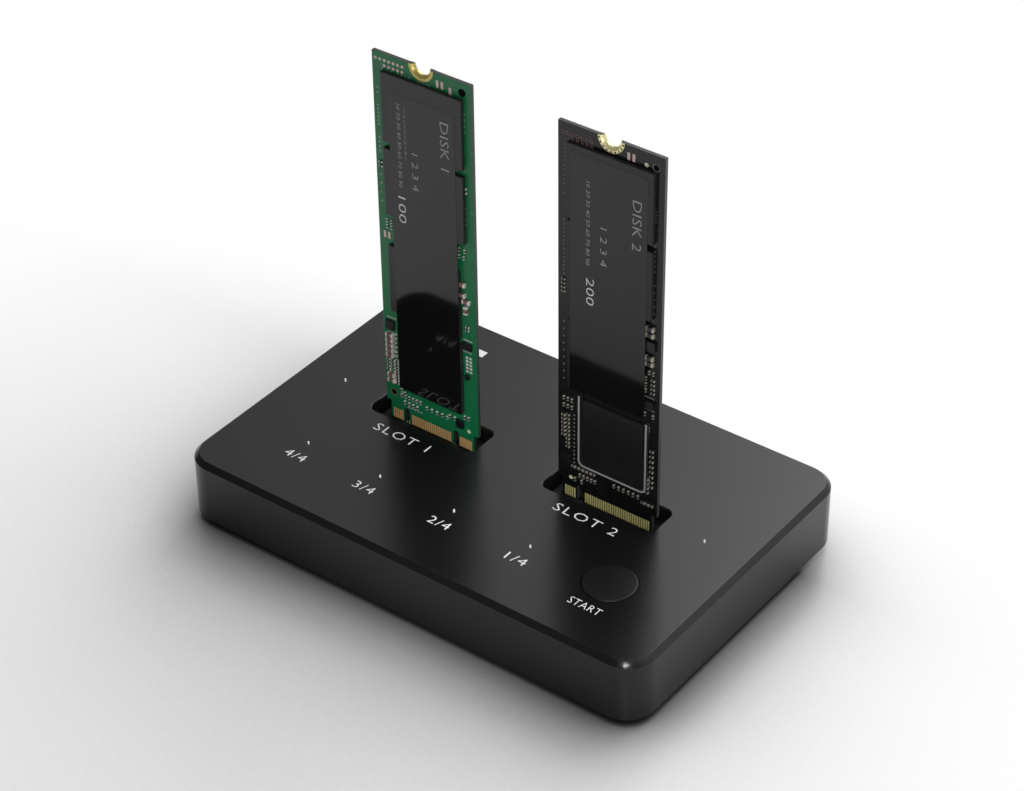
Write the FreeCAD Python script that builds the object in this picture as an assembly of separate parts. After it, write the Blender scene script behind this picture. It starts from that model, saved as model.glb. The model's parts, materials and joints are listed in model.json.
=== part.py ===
import FreeCAD, Part
import math
import os

from FreeCAD import Vector

UP = Vector(0, 0, 1)
BACKWARD = Vector(0, 1, 0)

# Twin-slot drive duplicator: a low housing with two drive cards standing in it.
# Millimetres. X runs along the long front side, Y to the back, Z up.
# The origin is the centre of the footprint, on the table under the feet.

# Housing
BODY_WIDTH = 103.5
BODY_DEPTH = 67.0
BODY_HEIGHT = 13.4
CORNER_RADIUS = 6.0
TOP_CHAMFER = 1.0
TOP_WALL = 1.8
SIDE_WALL = 2.0
RIM_WALL = 1.2
BOTTOM_CHAMFER = 0.4
COVER_THICKNESS = 1.6
COVER_GAP = 0.15

# Feet
FOOT_STAND = 1.2
FOOT_RADIUS = 4.5
FOOT_FROM_SIDE = 16.25
FOOT_FROM_FRONT = 10.5

# Snap hooks of the cover, and the notches they catch in
HOOK_FROM_SIDE = 36.75
HOOK_SIDE_Y = 0.0
HOOK_WIDTH = 5.0
HOOK_THICKNESS = 1.0
HOOK_GAP = 0.1
HOOK_BITE = 0.6
HOOK_CATCH_HEIGHT = 2.6
HOOK_LIP = 0.5
HOOK_HEAD = 1.8
NOTCH_GAP = 0.1
NOTCH_SIDE_GAP = 0.3

# Circuit board inside the housing, clamped between ribs of the shell and stands of the cover
BOARD_THICKNESS = 1.6
BOARD_EDGE_GAP = 0.9
BOARD_HOOK_GAP = 0.4
RIB_FROM_SIDE = 16.75
RIB_SIDE_Y = 20.0
RIB_THICKNESS = 1.2
RIB_REACH = 2.4
STAND_SIZE = 4.0

# Drive cards
CARD_WIDTH = 22.0
CARD_LENGTH = 80.0
CARD_BOARD = 0.8
CHIP_HEIGHT = 0.9
LABEL_THICKNESS = 0.1
TONGUE_SHOULDER = 1.075
TONGUE_HEIGHT = 4.0
TONGUE_BEVEL = 0.2
KEY_WIDTH = 1.2
KEY_DEPTH = 3.5
LEFT_KEY_X = -6.125
RIGHT_KEY_X = 5.625
KEY_ZONE = 1.0
PAD_PITCH = 0.5
PAD_ROW_MARGIN = 0.675
PAD_WIDTH = 0.35
PAD_FROM_TIP = 0.3
PAD_LENGTH = 2.2
PAD_THICKNESS = 0.03
END_HOLE_RADIUS = 1.75
END_RING_RADIUS = 2.75
RING_THICKNESS = 0.05

# Chips and labels on the cards, from the card's left, right and top edges
MEMORY_LEFT = 2.4
MEMORY_RIGHT = 1.7
MEMORY_HEIGHT = 14.2
MEMORY_TOP = 3.2
MEMORY_STEP = 15.6
CACHE_LEFT = 2.6
CACHE_RIGHT = 3.2
CACHE_TOP = 39.6
CACHE_HEIGHT = 14.6
CONTROLLER_LEFT = 4.7
CONTROLLER_RIGHT = 3.1
CONTROLLER_TOP = 55.4
CONTROLLER_HEIGHT = 15.8
LABEL_LEFT = 4.1
LABEL_RIGHT = 3.2
LABEL_TOP = 6.6
LABEL_BOTTOM = 71.3
FRAME_LEFT = 5.0
FRAME_RIGHT = 2.0
FRAME_TOP = 55.3
FRAME_BOTTOM = 71.0
FRAME_LINE = 0.4
FRAME_RADIUS = 1.3
FRAME_CHIP_GAP = 0.6
DARK_LABEL_LEFT = 3.2
DARK_LABEL_RIGHT = 2.7
DARK_LABEL_TOP = 4.6
DARK_LABEL_BOTTOM = 54.2

# Slots: wells in the top wall, and the edge connectors at their foot
SLOT_FROM_SIDE = 31.5
WELL_Y = 2.45
WELL_SIDE_GAP = 1.2
WELL_DEPTH = 7.8
WELL_CORNER = 1.5
WELL_WALL = 1.0
WELL_SKIRT = 2.6
WELL_CHAMFER = 0.25
CARD_BACK_SETBACK = 0.9
MOUTH_DEPTH = 3.0
CARD_IN_MOUTH = 0.5
SHOULDER_GAP = 0.1
TIP_GAP = 0.2
SLOT_WIDTH_GAP = 0.15
SLOT_HALF_GAP = 0.55
SLOT_FLOOR = 1.4
SLOT_LEAD_IN = 0.25
CONNECTOR_END = 0.5
CONNECTOR_DEPTH = 6.0
CONNECTOR_CORNER = 0.6
KEY_RIB_GAP = 0.1
KEY_RIB_DROP = 0.4

# Spring contacts of the edge connectors
CONTACT_THICKNESS = 0.14
CONTACT_WIDTH = 0.22
CONTACT_LEG = 1.15
CONTACT_NOSE_GAP = 0.06
CONTACT_NOSE_DROP = 1.4
CONTACT_TIP_DROP = 0.7
CONTACT_TIP_BACK = 0.2
GROOVE_GAP = 0.05
GROOVE_TOP_GAP = 0.15
SLIT_RISE = 0.3

# Copy button and the switch under it
BUTTON_FROM_SIDE = 17.25
BUTTON_FROM_FRONT = 16.8
BUTTON_RADIUS = 5.1
BUTTON_GAP = 0.12
BUTTON_PROUD = 0.2
BUTTON_CHAMFER = 0.2
BUTTON_FLANGE = 0.9
BUTTON_FLANGE_THICKNESS = 0.9
BUTTON_STOP_GAP = 0.05
BUTTON_STEM_SIZE = 3.0
BUTTON_TRAVEL = 0.5
SWITCH_SIZE = 6.2
SWITCH_HEIGHT = 3.5
PLUNGER_RADIUS = 1.65
PLUNGER_STAND = 0.3
PLUNGER_DEPTH = 1.0
PLUNGER_GAP = 0.08
DOME_RADIUS = 1.5
DOME_TOP_RADIUS = 0.7
DOME_HEIGHT = 0.3
DOME_GAP = 0.2
LEG_WIDTH = 0.7
LEG_THICKNESS = 0.25
LEG_REACH = 1.0
LEG_SPACING = 4.5

# Indicator lights: four in a row along the front and one at the outer side of each slot
LIGHT_COUNT = 4
LIGHT_FROM_SIDE = 17.25
LIGHT_FROM_FRONT = 16.6
SIDE_LIGHT_FROM_SIDE = 10.15
SIDE_LIGHT_Y = 2.6
GUIDE_PIN_SIZE = 0.45
GUIDE_PIN_PROUD = 0.45
GUIDE_PIN_GAP = 0.05
GUIDE_POST_SIZE = 1.8
GUIDE_BAR_DEPTH = 3.0
GUIDE_BAR_THICKNESS = 1.4
GUIDE_PEG_SIZE = 1.2
GUIDE_SLEEVE_WALL = 0.8
GUIDE_SLEEVE_LENGTH = 3.0
LAMP_LENGTH = 1.6
LAMP_WIDTH = 0.9
LAMP_HEIGHT = 0.8
LAMP_CHAMFER = 0.15
LAMP_GAP = 0.3

# Data socket in the back wall
SOCKET_WIDTH = 8.9
SOCKET_HEIGHT = 3.2
SOCKET_WALL = 0.3
SOCKET_LENGTH = 7.4
SOCKET_SETBACK = 0.3
SOCKET_HOLE_GAP = 0.15
SOCKET_BLOCK_LENGTH = 1.6
SOCKET_TONGUE_WIDTH = 6.6
SOCKET_TONGUE_THICKNESS = 0.7
SOCKET_TONGUE_LENGTH = 4.6
SOCKET_STAND = 0.1

# Power jack in the back wall
JACK_FROM_SIDE = 21.75
JACK_WIDTH = 9.0
JACK_BODY_LENGTH = 13.0
JACK_NOSE_RADIUS = 4.0
JACK_NOSE_GAP = 0.15
JACK_BORE_RADIUS = 3.2
JACK_BORE_DEPTH = 10.0
JACK_PIN_RADIUS = 1.0
JACK_PIN_SETBACK = 1.0
JACK_PIN_CHAMFER = 0.4
JACK_FIT_GAP = 0.3
JACK_EAR_WIDTH = 1.5
JACK_EAR_THICKNESS = 1.2
JACK_BLADE_WIDTH = 1.8
JACK_BLADE_THICKNESS = 0.3
JACK_BLADE_LIFT = 0.4
JACK_BLADE_GAP = 0.2
JACK_BLADE_KNEE = 3.2
JACK_BLADE_PEAK = 5.5

# Power switch in the back wall
POWER_FROM_SIDE = 21.75
POWER_BODY_WIDTH = 8.6
POWER_BODY_DEPTH = 3.8
POWER_BODY_HEIGHT = 3.6
POWER_KNOB_WIDTH = 2.0
POWER_KNOB_HEIGHT = 1.6
POWER_TRAVEL = 2.0
POWER_KNOB_SETBACK = 0.15
POWER_SLOT_GAP = 0.2
POWER_POCKET_WIDTH = 9.0
POWER_POCKET_HEIGHT = 4.4
POWER_POCKET_DEPTH = 0.9
POWER_POCKET_CORNER = 1.0
POWER_CARRIER_DEPTH = 1.6
POWER_CARRIER_HEIGHT = 1.8
POWER_CARRIER_GAP = 0.1
POWER_CAN_WALL = 0.3

# Chips and coils on the main board
BRIDGE_SIZE = 9.0
BRIDGE_HEIGHT = 0.9
BRIDGE_GAP = 2.2
CHIP_CHAMFER = 0.2
MASTER_SIZE = 7.0
MASTER_X = -6.0
MASTER_Y = -8.0
COIL_SIZE = 5.0
COIL_HEIGHT = 3.0
COIL_FROM_SLOT = 5.25
COIL_FROM_BACK = 10.5
COIL_CORNER = 1.0
COIL_CHAMFER = 0.3
CAPACITOR_LENGTH = 3.5
CAPACITOR_WIDTH = 2.8
CAPACITOR_HEIGHT = 1.9
CAPACITOR_SPACING = 6.0
CAPACITOR_X = 12.5
CAPACITOR_Y = -9.0
CRYSTAL_LENGTH = 3.2
CRYSTAL_WIDTH = 2.5
CRYSTAL_HEIGHT = 0.8
CRYSTAL_CHAMFER = 0.2
CRYSTAL_GAP = 3.0

# Air slots in the bottom cover
AIR_SLOT_START = 4.5
AIR_SLOT_STAND_GAP = 1.75
AIR_SLOT_WIDTH = 1.3
AIR_SLOT_PITCH = 3.2
AIR_SLOT_COUNT = 7

# Two places closer than this are the same one
SAME_PLACE = 1e-6

# Heights and planes that the sizes above fix
z_floor = FOOT_STAND
z_top = z_floor + BODY_HEIGHT
z_ceiling = z_top - TOP_WALL
z_cover = z_floor + COVER_THICKNESS
z_mouth = z_top - MOUTH_DEPTH
slot_depth = TONGUE_HEIGHT - SHOULDER_GAP + TIP_GAP
z_slot_floor = z_mouth - slot_depth
z_board = z_slot_floor - SLOT_FLOOR
z_board_under = z_board - BOARD_THICKNESS
z_card_tip = z_mouth - CARD_IN_MOUTH
z_card_top = z_card_tip + CARD_LENGTH
y_outer = BODY_DEPTH / 2
y_inner = y_outer - SIDE_WALL
y_card_back = WELL_Y + CARD_BACK_SETBACK
y_card_front = y_card_back - CARD_BOARD
y_card = (y_card_back + y_card_front) / 2
y_chip_front = y_card_front - CHIP_HEIGHT
x_outer = BODY_WIDTH / 2
x_inner = x_outer - SIDE_WALL
inner_width = BODY_WIDTH - 2 * SIDE_WALL
inner_depth = BODY_DEPTH - 2 * SIDE_WALL
rim_width = BODY_WIDTH - 2 * RIM_WALL
rim_depth = BODY_DEPTH - 2 * RIM_WALL
board_width = inner_width - 2 * BOARD_EDGE_GAP
board_depth = inner_depth - 2 * BOARD_EDGE_GAP
y_board_back = board_depth / 2
y_bridge = y_card + (CONNECTOR_DEPTH + BRIDGE_SIZE) / 2 + BRIDGE_GAP
y_crystal = y_bridge + (BRIDGE_SIZE + CRYSTAL_WIDTH) / 2 + CRYSTAL_GAP
z_guide_foot = z_board + LAMP_HEIGHT + LAMP_GAP
foot_x = x_outer - FOOT_FROM_SIDE
foot_y = y_outer - FOOT_FROM_FRONT
hook_x = x_outer - HOOK_FROM_SIDE
rib_x = x_outer - RIB_FROM_SIDE
slot_x = x_outer - SLOT_FROM_SIDE
well_width = CARD_WIDTH + 2 * WELL_SIDE_GAP
tongue_width = CARD_WIDTH - 2 * TONGUE_SHOULDER
pad_row = tongue_width - 2 * PAD_ROW_MARGIN
connector_width = CARD_WIDTH + 2 * CONNECTOR_END
button_x = x_outer - BUTTON_FROM_SIDE
button_y = BUTTON_FROM_FRONT - y_outer
first_light_x = LIGHT_FROM_SIDE - x_outer
light_pitch = (button_x - first_light_x) / LIGHT_COUNT
light_y = LIGHT_FROM_FRONT - y_outer
side_light_x = x_outer - SIDE_LIGHT_FROM_SIDE
jack_x = x_outer - JACK_FROM_SIDE
power_x = POWER_FROM_SIDE - x_outer
coil_x = slot_x - COIL_FROM_SLOT
coil_y = y_outer - COIL_FROM_BACK
plunger_proud = BUTTON_TRAVEL + PLUNGER_STAND
switch_cavity = PLUNGER_DEPTH + BUTTON_TRAVEL + DOME_GAP + DOME_HEIGHT


# Plain shapes

def block(width, depth, z_low, z_high, x=0.0, y=0.0):
    corner = Vector(x - width / 2, y - depth / 2, z_low)
    return Part.makeBox(width, depth, z_high - z_low, corner)


def post(radius, z_low, z_high, x=0.0, y=0.0):
    return Part.makeCylinder(radius, z_high - z_low, Vector(x, y, z_low))


def rod_to_back(radius, y_low, y_high, x, z):
    return Part.makeCylinder(radius, y_high - y_low, Vector(x, y_low, z), BACKWARD)


def edges_along(shape, axis):
    starts = [(edge, edge.tangentAt(edge.FirstParameter)) for edge in shape.Edges]
    return [edge for edge, tangent in starts if tangent.cross(axis).Length < SAME_PLACE]


def edges_at_height(shape, z):
    boxes = [(edge, edge.BoundBox) for edge in shape.Edges]
    return [edge for edge, box in boxes if max(abs(box.ZMin - z), abs(box.ZMax - z)) < SAME_PLACE]


def rounded_block(width, depth, radius, z_low, z_high, x=0.0, y=0.0):
    plain = block(width, depth, z_low, z_high, x, y)
    return plain.makeFillet(radius, edges_along(plain, UP))


def cut_corner_block(width, depth, corner, z_low, z_high, x, y):
    plain = block(width, depth, z_low, z_high, x, y)
    return plain.makeChamfer(corner, edges_along(plain, UP))


def rectangle_wire(width, depth, x, y, z):
    across = (-width / 2, width / 2, width / 2, -width / 2)
    along = (-depth / 2, -depth / 2, depth / 2, depth / 2)
    corners = [Vector(x + dx, y + dy, z) for dx, dy in zip(across, along)]
    return Part.makePolygon(corners + corners[:1])


def fuse_all(shapes):
    if len(shapes) == 1:
        return shapes[0]
    return shapes[0].multiFuse(shapes[1:]).removeSplitter()


def save(name, *solids):
    shape = solids[0] if len(solids) == 1 else Part.makeCompound(list(solids))
    shape.exportStep("parts/" + name + ".step")


def strip_outline(points, thickness):
    """Outline of a bent strip whose centre line runs through the points."""
    half = thickness / 2
    near_side = []
    far_side = []
    for index, point in enumerate(points):
        before = points[max(index - 1, 0)]
        after = points[min(index + 1, len(points) - 1)]
        normals = []
        for start, end in ((before, point), (point, after)):
            step = end - start
            if step.Length > 0:
                normals.append(Vector(0, -step.z, step.y) / step.Length)
        mean = (normals[0] + normals[-1]).normalize()
        mitre = mean * (half / mean.dot(normals[0]))
        near_side.append(point + mitre)
        far_side.append(point - mitre)
    return near_side + far_side[::-1]


def profile_along_x(points, width, x):
    """Closed outline in the Y-Z plane, made a solid that is centred on x."""
    outline = Part.Face(Part.makePolygon(points + points[:1]))
    solid = outline.extrude(Vector(width, 0, 0))
    solid.translate(Vector(x - width / 2, 0, 0))
    return solid


def bent_strip(points, thickness, width, x):
    """Sheet-metal strip bent in the Y-Z plane, centred on x."""
    return profile_along_x(strip_outline(points, thickness), width, x)


def stadium(width, height, y_low, y_high, x, z):
    """Flat-sided rounded bar that lies along Y."""
    radius = height / 2
    half_flat = width / 2 - radius
    middle = Part.makeBox(2 * half_flat, y_high - y_low, height, Vector(x - half_flat, y_low, z - radius))
    ends = [rod_to_back(radius, y_low, y_high, x + side * half_flat, z) for side in (-1, 1)]
    return fuse_all([middle] + ends)


def corner_places(x, y):
    return [(side * x, end * y) for side in (-1, 1) for end in (-1, 1)]


def against_walls(shape, places):
    """Copies of a shape whose wall is the plane Y = 0, set against the walls at the places."""
    copies = []
    for x, y, turn in places:
        copy = shape.copy()
        copy.rotate(Vector(0, 0, 0), UP, turn)
        copy.translate(Vector(x, y, 0))
        copies.append(copy)
    return copies


def side_wall_places(y):
    return [(x_inner, y, -90), (-x_inner, y, 90)]


def hook_places():
    back = [(side * hook_x, y_inner, 0) for side in (-1, 1)]
    front = [(side * hook_x, -y_inner, 180) for side in (-1, 1)]
    return back + front + side_wall_places(HOOK_SIDE_Y)


def rib_places():
    front = [(side * rib_x, -y_inner, 180) for side in (-1, 1)]
    return front + side_wall_places(RIB_SIDE_Y) + side_wall_places(-RIB_SIDE_Y)


# Rows of contacts, shared by the cards and the edge connectors

def row_places(front, key_places):
    """X places of one row of contacts: the front row and the back row are staggered."""
    first = -pad_row / 2 if front else -pad_row / 2 + PAD_PITCH / 2
    count = int(round(-2 * first / PAD_PITCH)) + 1
    places = [first + index * PAD_PITCH for index in range(count)]
    return [x for x in places if all(abs(x - key) > KEY_ZONE for key in key_places)]


# Housing

def light_places():
    row = [(first_light_x + index * light_pitch, light_y) for index in range(LIGHT_COUNT)]
    return row, [(-side_light_x, SIDE_LIGHT_Y), (side_light_x, SIDE_LIGHT_Y)]


def guide_peg_places():
    """Midway between the first two lights and between the last two."""
    return [(first_light_x + (gap + 0.5) * light_pitch, light_y) for gap in (0, LIGHT_COUNT - 2)]


def snap_hook():
    """Springy hook that stands on the cover, for the wall plane Y = 0."""
    z_catch = z_cover + HOOK_CATCH_HEIGHT
    z_head_top = z_catch + HOOK_HEAD
    line = [
        (-HOOK_GAP - HOOK_THICKNESS, z_cover),
        (-HOOK_GAP, z_cover),
        (-HOOK_GAP, z_catch),
        (HOOK_BITE, z_catch),
        (HOOK_BITE, z_catch + HOOK_LIP),
        (-HOOK_GAP, z_head_top),
        (-HOOK_GAP - HOOK_THICKNESS, z_head_top),
    ]
    return profile_along_x([Vector(0, y, z) for y, z in line], HOOK_WIDTH, 0)


def hook_notch():
    """Room for the head of a snap hook in the wall behind the plane Y = 0."""
    depth = HOOK_BITE + NOTCH_GAP
    z_low = z_cover + HOOK_CATCH_HEIGHT
    z_high = z_low + HOOK_HEAD + NOTCH_GAP
    return block(HOOK_WIDTH + 2 * NOTCH_SIDE_GAP, depth, z_low, z_high, 0, depth / 2)


def near_well(edge, side):
    centre = edge.BoundBox.Center
    near_x = abs(centre.x - side * slot_x) < well_width / 2 + SAME_PLACE
    near_y = abs(centre.y - WELL_Y) < WELL_DEPTH / 2 + SAME_PLACE
    return near_x and near_y


def top_shell():
    outer = rounded_block(BODY_WIDTH, BODY_DEPTH, CORNER_RADIUS, z_floor, z_top)
    outer = outer.makeChamfer(TOP_CHAMFER, edges_at_height(outer, z_top))
    outer = outer.makeChamfer(BOTTOM_CHAMFER, edges_at_height(outer, z_floor))
    inner_radius = CORNER_RADIUS - SIDE_WALL
    rim_radius = CORNER_RADIUS - RIM_WALL
    cavity = rounded_block(inner_width, inner_depth, inner_radius, z_cover, z_ceiling)
    rim = rounded_block(rim_width, rim_depth, rim_radius, z_floor, z_cover)
    shell = outer.cut(fuse_all([cavity, rim]))

    # Ribs that hold the circuit board down, and notches for the cover's hooks
    rib = block(RIB_THICKNESS, RIB_REACH, z_board, z_ceiling, 0, -RIB_REACH / 2)
    added = against_walls(rib, rib_places())
    removed = against_walls(hook_notch(), hook_places())

    # Holes for the lights, sleeves for the two single guides and pegs for the comb
    row, sides = light_places()
    pin_hole = GUIDE_PIN_SIZE + 2 * GUIDE_PIN_GAP
    for x, y in row + sides:
        removed.append(block(pin_hole, pin_hole, z_ceiling, z_top, x, y))
    bore = GUIDE_POST_SIZE + 2 * GUIDE_PIN_GAP
    sleeve = bore + 2 * GUIDE_SLEEVE_WALL
    z_sleeve = z_ceiling - GUIDE_SLEEVE_LENGTH
    for x, y in sides:
        added.append(block(sleeve, sleeve, z_sleeve, z_ceiling, x, y))
        removed.append(block(bore, bore, z_sleeve, z_ceiling, x, y))
    z_peg = z_ceiling - GUIDE_BAR_THICKNESS
    for x, y in guide_peg_places():
        added.append(block(GUIDE_PEG_SIZE, GUIDE_PEG_SIZE, z_peg, z_ceiling, x, y))

    # Wells for the cards, with a skirt below the top wall
    skirt_width = well_width + 2 * WELL_WALL
    skirt_depth = WELL_DEPTH + 2 * WELL_WALL
    skirt_low = z_ceiling - WELL_SKIRT
    for side in (-1, 1):
        x = side * slot_x
        added.append(block(skirt_width, skirt_depth, skirt_low, z_ceiling, x, WELL_Y))
        removed.append(rounded_block(well_width, WELL_DEPTH, WELL_CORNER, skirt_low, z_top, x, WELL_Y))

    # Openings for the button and, in the back wall, the socket, the jack and the power switch
    removed.append(post(BUTTON_RADIUS + BUTTON_GAP, z_ceiling, z_top, button_x, button_y))
    socket_width = SOCKET_WIDTH + 2 * SOCKET_HOLE_GAP
    socket_height = SOCKET_HEIGHT + 2 * SOCKET_HOLE_GAP
    removed.append(stadium(socket_width, socket_height, y_inner, y_outer, 0, socket_centre()))
    removed.append(rod_to_back(JACK_NOSE_RADIUS + JACK_NOSE_GAP, y_inner, y_outer, jack_x, jack_centre()))
    removed.append(power_switch_pocket())
    shell = shell.fuse(added).cut(removed)

    top_edges = edges_at_height(shell, z_top)
    well_edges = [edge for side in (-1, 1) for edge in top_edges if near_well(edge, side)]
    return shell.makeChamfer(WELL_CHAMFER, well_edges).removeSplitter()


def power_knob_height():
    return z_board + POWER_BODY_HEIGHT / 2


def power_switch_pocket():
    """Finger pocket in the back wall, with the slot that the knob runs in."""
    z = power_knob_height()
    pocket = Part.makeBox(POWER_POCKET_WIDTH, POWER_POCKET_DEPTH, POWER_POCKET_HEIGHT)
    pocket = pocket.makeFillet(POWER_POCKET_CORNER, edges_along(pocket, BACKWARD))
    z_low = z - POWER_POCKET_HEIGHT / 2
    pocket.translate(Vector(power_x - POWER_POCKET_WIDTH / 2, y_outer - POWER_POCKET_DEPTH, z_low))
    slot_width = POWER_KNOB_WIDTH + POWER_TRAVEL + 2 * POWER_SLOT_GAP
    slot_height = POWER_KNOB_HEIGHT + 2 * POWER_SLOT_GAP
    slot_corner = Vector(power_x - slot_width / 2, y_inner, z - slot_height / 2)
    return fuse_all([pocket, Part.makeBox(slot_width, SIDE_WALL, slot_height, slot_corner)])


def stand_places():
    slots = [(side * slot_x, y_card) for side in (-1, 1)]
    return slots + [(button_x, button_y)]


def bottom_cover():
    """Flat cover with snap hooks, stands for the circuit board and air slots."""
    gap = 2 * COVER_GAP
    radius = CORNER_RADIUS - RIM_WALL - COVER_GAP
    cover = rounded_block(rim_width - gap, rim_depth - gap, radius, z_floor, z_cover)
    added = [block(STAND_SIZE, STAND_SIZE, z_cover, z_board_under, x, y) for x, y in stand_places()]
    stand_depth = RIB_REACH - BOARD_EDGE_GAP
    stand_y = -BOARD_EDGE_GAP - stand_depth / 2
    edge_stand = block(STAND_SIZE, stand_depth, z_cover, z_board_under, 0, stand_y)
    added += against_walls(edge_stand, rib_places())
    added += against_walls(snap_hook(), hook_places())
    removed = []
    middle = (AIR_SLOT_COUNT - 1) / 2
    air_slot_end = slot_x - STAND_SIZE / 2 - AIR_SLOT_STAND_GAP
    air_slot_length = air_slot_end - AIR_SLOT_START
    air_slot_x = (AIR_SLOT_START + air_slot_end) / 2
    for side in (-1, 1):
        for index in range(AIR_SLOT_COUNT):
            y = (index - middle) * AIR_SLOT_PITCH
            removed.append(block(air_slot_length, AIR_SLOT_WIDTH, z_floor, z_cover, side * air_slot_x, y))
    return cover.fuse(added).cut(removed).removeSplitter()


def main_board():
    """Circuit board with notches for the cover's hooks and room for the power jack."""
    radius = CORNER_RADIUS - SIDE_WALL - BOARD_EDGE_GAP
    board = rounded_block(board_width, board_depth, radius, z_board_under, z_board)
    hook_depth = HOOK_GAP + HOOK_THICKNESS + BOARD_HOOK_GAP
    hook_width = HOOK_WIDTH + 2 * BOARD_HOOK_GAP
    hook_room = block(hook_width, hook_depth, z_board_under, z_board, 0, -hook_depth / 2)
    removed = against_walls(hook_room, hook_places())
    jack_low, jack_high, jack_nose = jack_planes()
    jack_width = JACK_WIDTH + 2 * JACK_FIT_GAP
    jack_depth = y_inner - jack_low + JACK_FIT_GAP
    jack_y = y_inner - jack_depth / 2
    removed.append(block(jack_width, jack_depth, z_board_under, z_board, jack_x, jack_y))
    return board.cut(removed).removeSplitter()


# Edge connectors

def connector_body(x, key_x):
    """Block with a keyed card slot, its lead-in, a groove for each contact, and slits that they enter by."""
    body = cut_corner_block(connector_width, CONNECTOR_DEPTH, CONNECTOR_CORNER, z_board, z_mouth, x, y_card)
    slot_width = tongue_width + 2 * SLOT_WIDTH_GAP
    opening = 2 * SLOT_HALF_GAP
    slot = block(slot_width, opening, z_slot_floor, z_mouth, x, y_card)
    rib_top = z_slot_floor + TIP_GAP + KEY_DEPTH - KEY_RIB_DROP
    rib = block(KEY_WIDTH - 2 * KEY_RIB_GAP, opening, z_slot_floor, rib_top, x + key_x, y_card)
    lead = 2 * SLOT_LEAD_IN
    lead_foot = rectangle_wire(slot_width, opening, x, y_card, z_mouth - SLOT_LEAD_IN)
    lead_mouth = rectangle_wire(slot_width + lead, opening + lead, x, y_card, z_mouth)
    removed = [slot.cut(rib), Part.makeLoft([lead_foot, lead_mouth], True)]

    groove_width = CONTACT_WIDTH + 2 * GROOVE_GAP
    groove_depth = CONTACT_LEG + CONTACT_THICKNESS / 2 + GROOVE_GAP - SLOT_HALF_GAP
    groove_top = z_mouth - CONTACT_TIP_DROP + GROOVE_TOP_GAP
    slit_top = z_slot_floor + SLIT_RISE
    for side in (-1, 1):
        y = y_card + side * (SLOT_HALF_GAP + groove_depth / 2)
        places = row_places(side < 0, [key_x])
        for place in places:
            removed.append(block(groove_width, groove_depth, slit_top, groove_top, x + place, y))
        left_run = [place for place in places if place < key_x]
        right_run = [place for place in places if place > key_x]
        for run in (left_run, right_run):
            length = run[-1] - run[0] + groove_width
            middle = x + (run[0] + run[-1]) / 2
            removed.append(block(length, groove_depth, z_board, slit_top, middle, y))
    return body.cut(removed).removeSplitter()


def spring_contact(x, side):
    """One bent spring: it leans in from the board to the nose that meets the card, then out to its tip."""
    nose = CARD_BOARD / 2 + PAD_THICKNESS + CONTACT_NOSE_GAP + CONTACT_THICKNESS / 2
    z_nose = z_mouth - CONTACT_NOSE_DROP
    lean = math.atan2(CONTACT_LEG - nose, z_nose - z_board)
    z_foot = z_board + math.sin(lean) * CONTACT_THICKNESS / 2
    tip = CONTACT_LEG - CONTACT_TIP_BACK
    line = [(CONTACT_LEG, z_foot), (nose, z_nose), (tip, z_mouth - CONTACT_TIP_DROP)]
    points = [Vector(0, y_card + side * out, z) for out, z in line]
    return bent_strip(points, CONTACT_THICKNESS, CONTACT_WIDTH, x)


def contact_row(x, key_x, front):
    side = -1 if front else 1
    return [spring_contact(x + place, side) for place in row_places(front, [key_x])]


# Copy button

def button_cap():
    z_high = z_top + BUTTON_PROUD
    z_flange_top = z_ceiling - BUTTON_STOP_GAP
    z_flange = z_flange_top - BUTTON_FLANGE_THICKNESS
    disc = post(BUTTON_RADIUS, z_flange_top, z_high, button_x, button_y)
    disc = disc.makeChamfer(BUTTON_CHAMFER, edges_at_height(disc, z_high))
    flange = post(BUTTON_RADIUS + BUTTON_FLANGE, z_flange, z_flange_top, button_x, button_y)
    stem = block(BUTTON_STEM_SIZE, BUTTON_STEM_SIZE, plunger_top(), z_flange, button_x, button_y)
    return fuse_all([disc, flange, stem])


def plunger_top():
    return z_board + SWITCH_HEIGHT + plunger_proud


def switch_body():
    z_high = z_board + SWITCH_HEIGHT
    body = block(SWITCH_SIZE, SWITCH_SIZE, z_board, z_high, button_x, button_y)
    bore = post(PLUNGER_RADIUS + PLUNGER_GAP, z_high - switch_cavity, z_high, button_x, button_y)
    return body.makeChamfer(CHIP_CHAMFER, edges_at_height(body, z_high)).cut(bore)


def switch_plunger():
    z_low = z_board + SWITCH_HEIGHT - PLUNGER_DEPTH
    return post(PLUNGER_RADIUS, z_low, plunger_top(), button_x, button_y)


def switch_dome():
    """Snap dome on the cavity floor, below the plunger's lowest place."""
    floor = Vector(button_x, button_y, z_board + SWITCH_HEIGHT - switch_cavity)
    return Part.makeCone(DOME_RADIUS, DOME_TOP_RADIUS, DOME_HEIGHT, floor)


def switch_legs():
    legs = []
    for side in (-1, 1):
        for end in (-1, 1):
            x = button_x + side * (SWITCH_SIZE + LEG_REACH) / 2
            y = button_y + end * LEG_SPACING / 2
            legs.append(block(LEG_REACH, LEG_WIDTH, z_board, z_board + LEG_THICKNESS, x, y))
    return legs


# Indicator lights

def guide_pin(x, y):
    return block(GUIDE_PIN_SIZE, GUIDE_PIN_SIZE, z_ceiling, z_top + GUIDE_PIN_PROUD, x, y)


def guide_post(x, y, z_high):
    return block(GUIDE_POST_SIZE, GUIDE_POST_SIZE, z_guide_foot, z_high, x, y)


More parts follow.
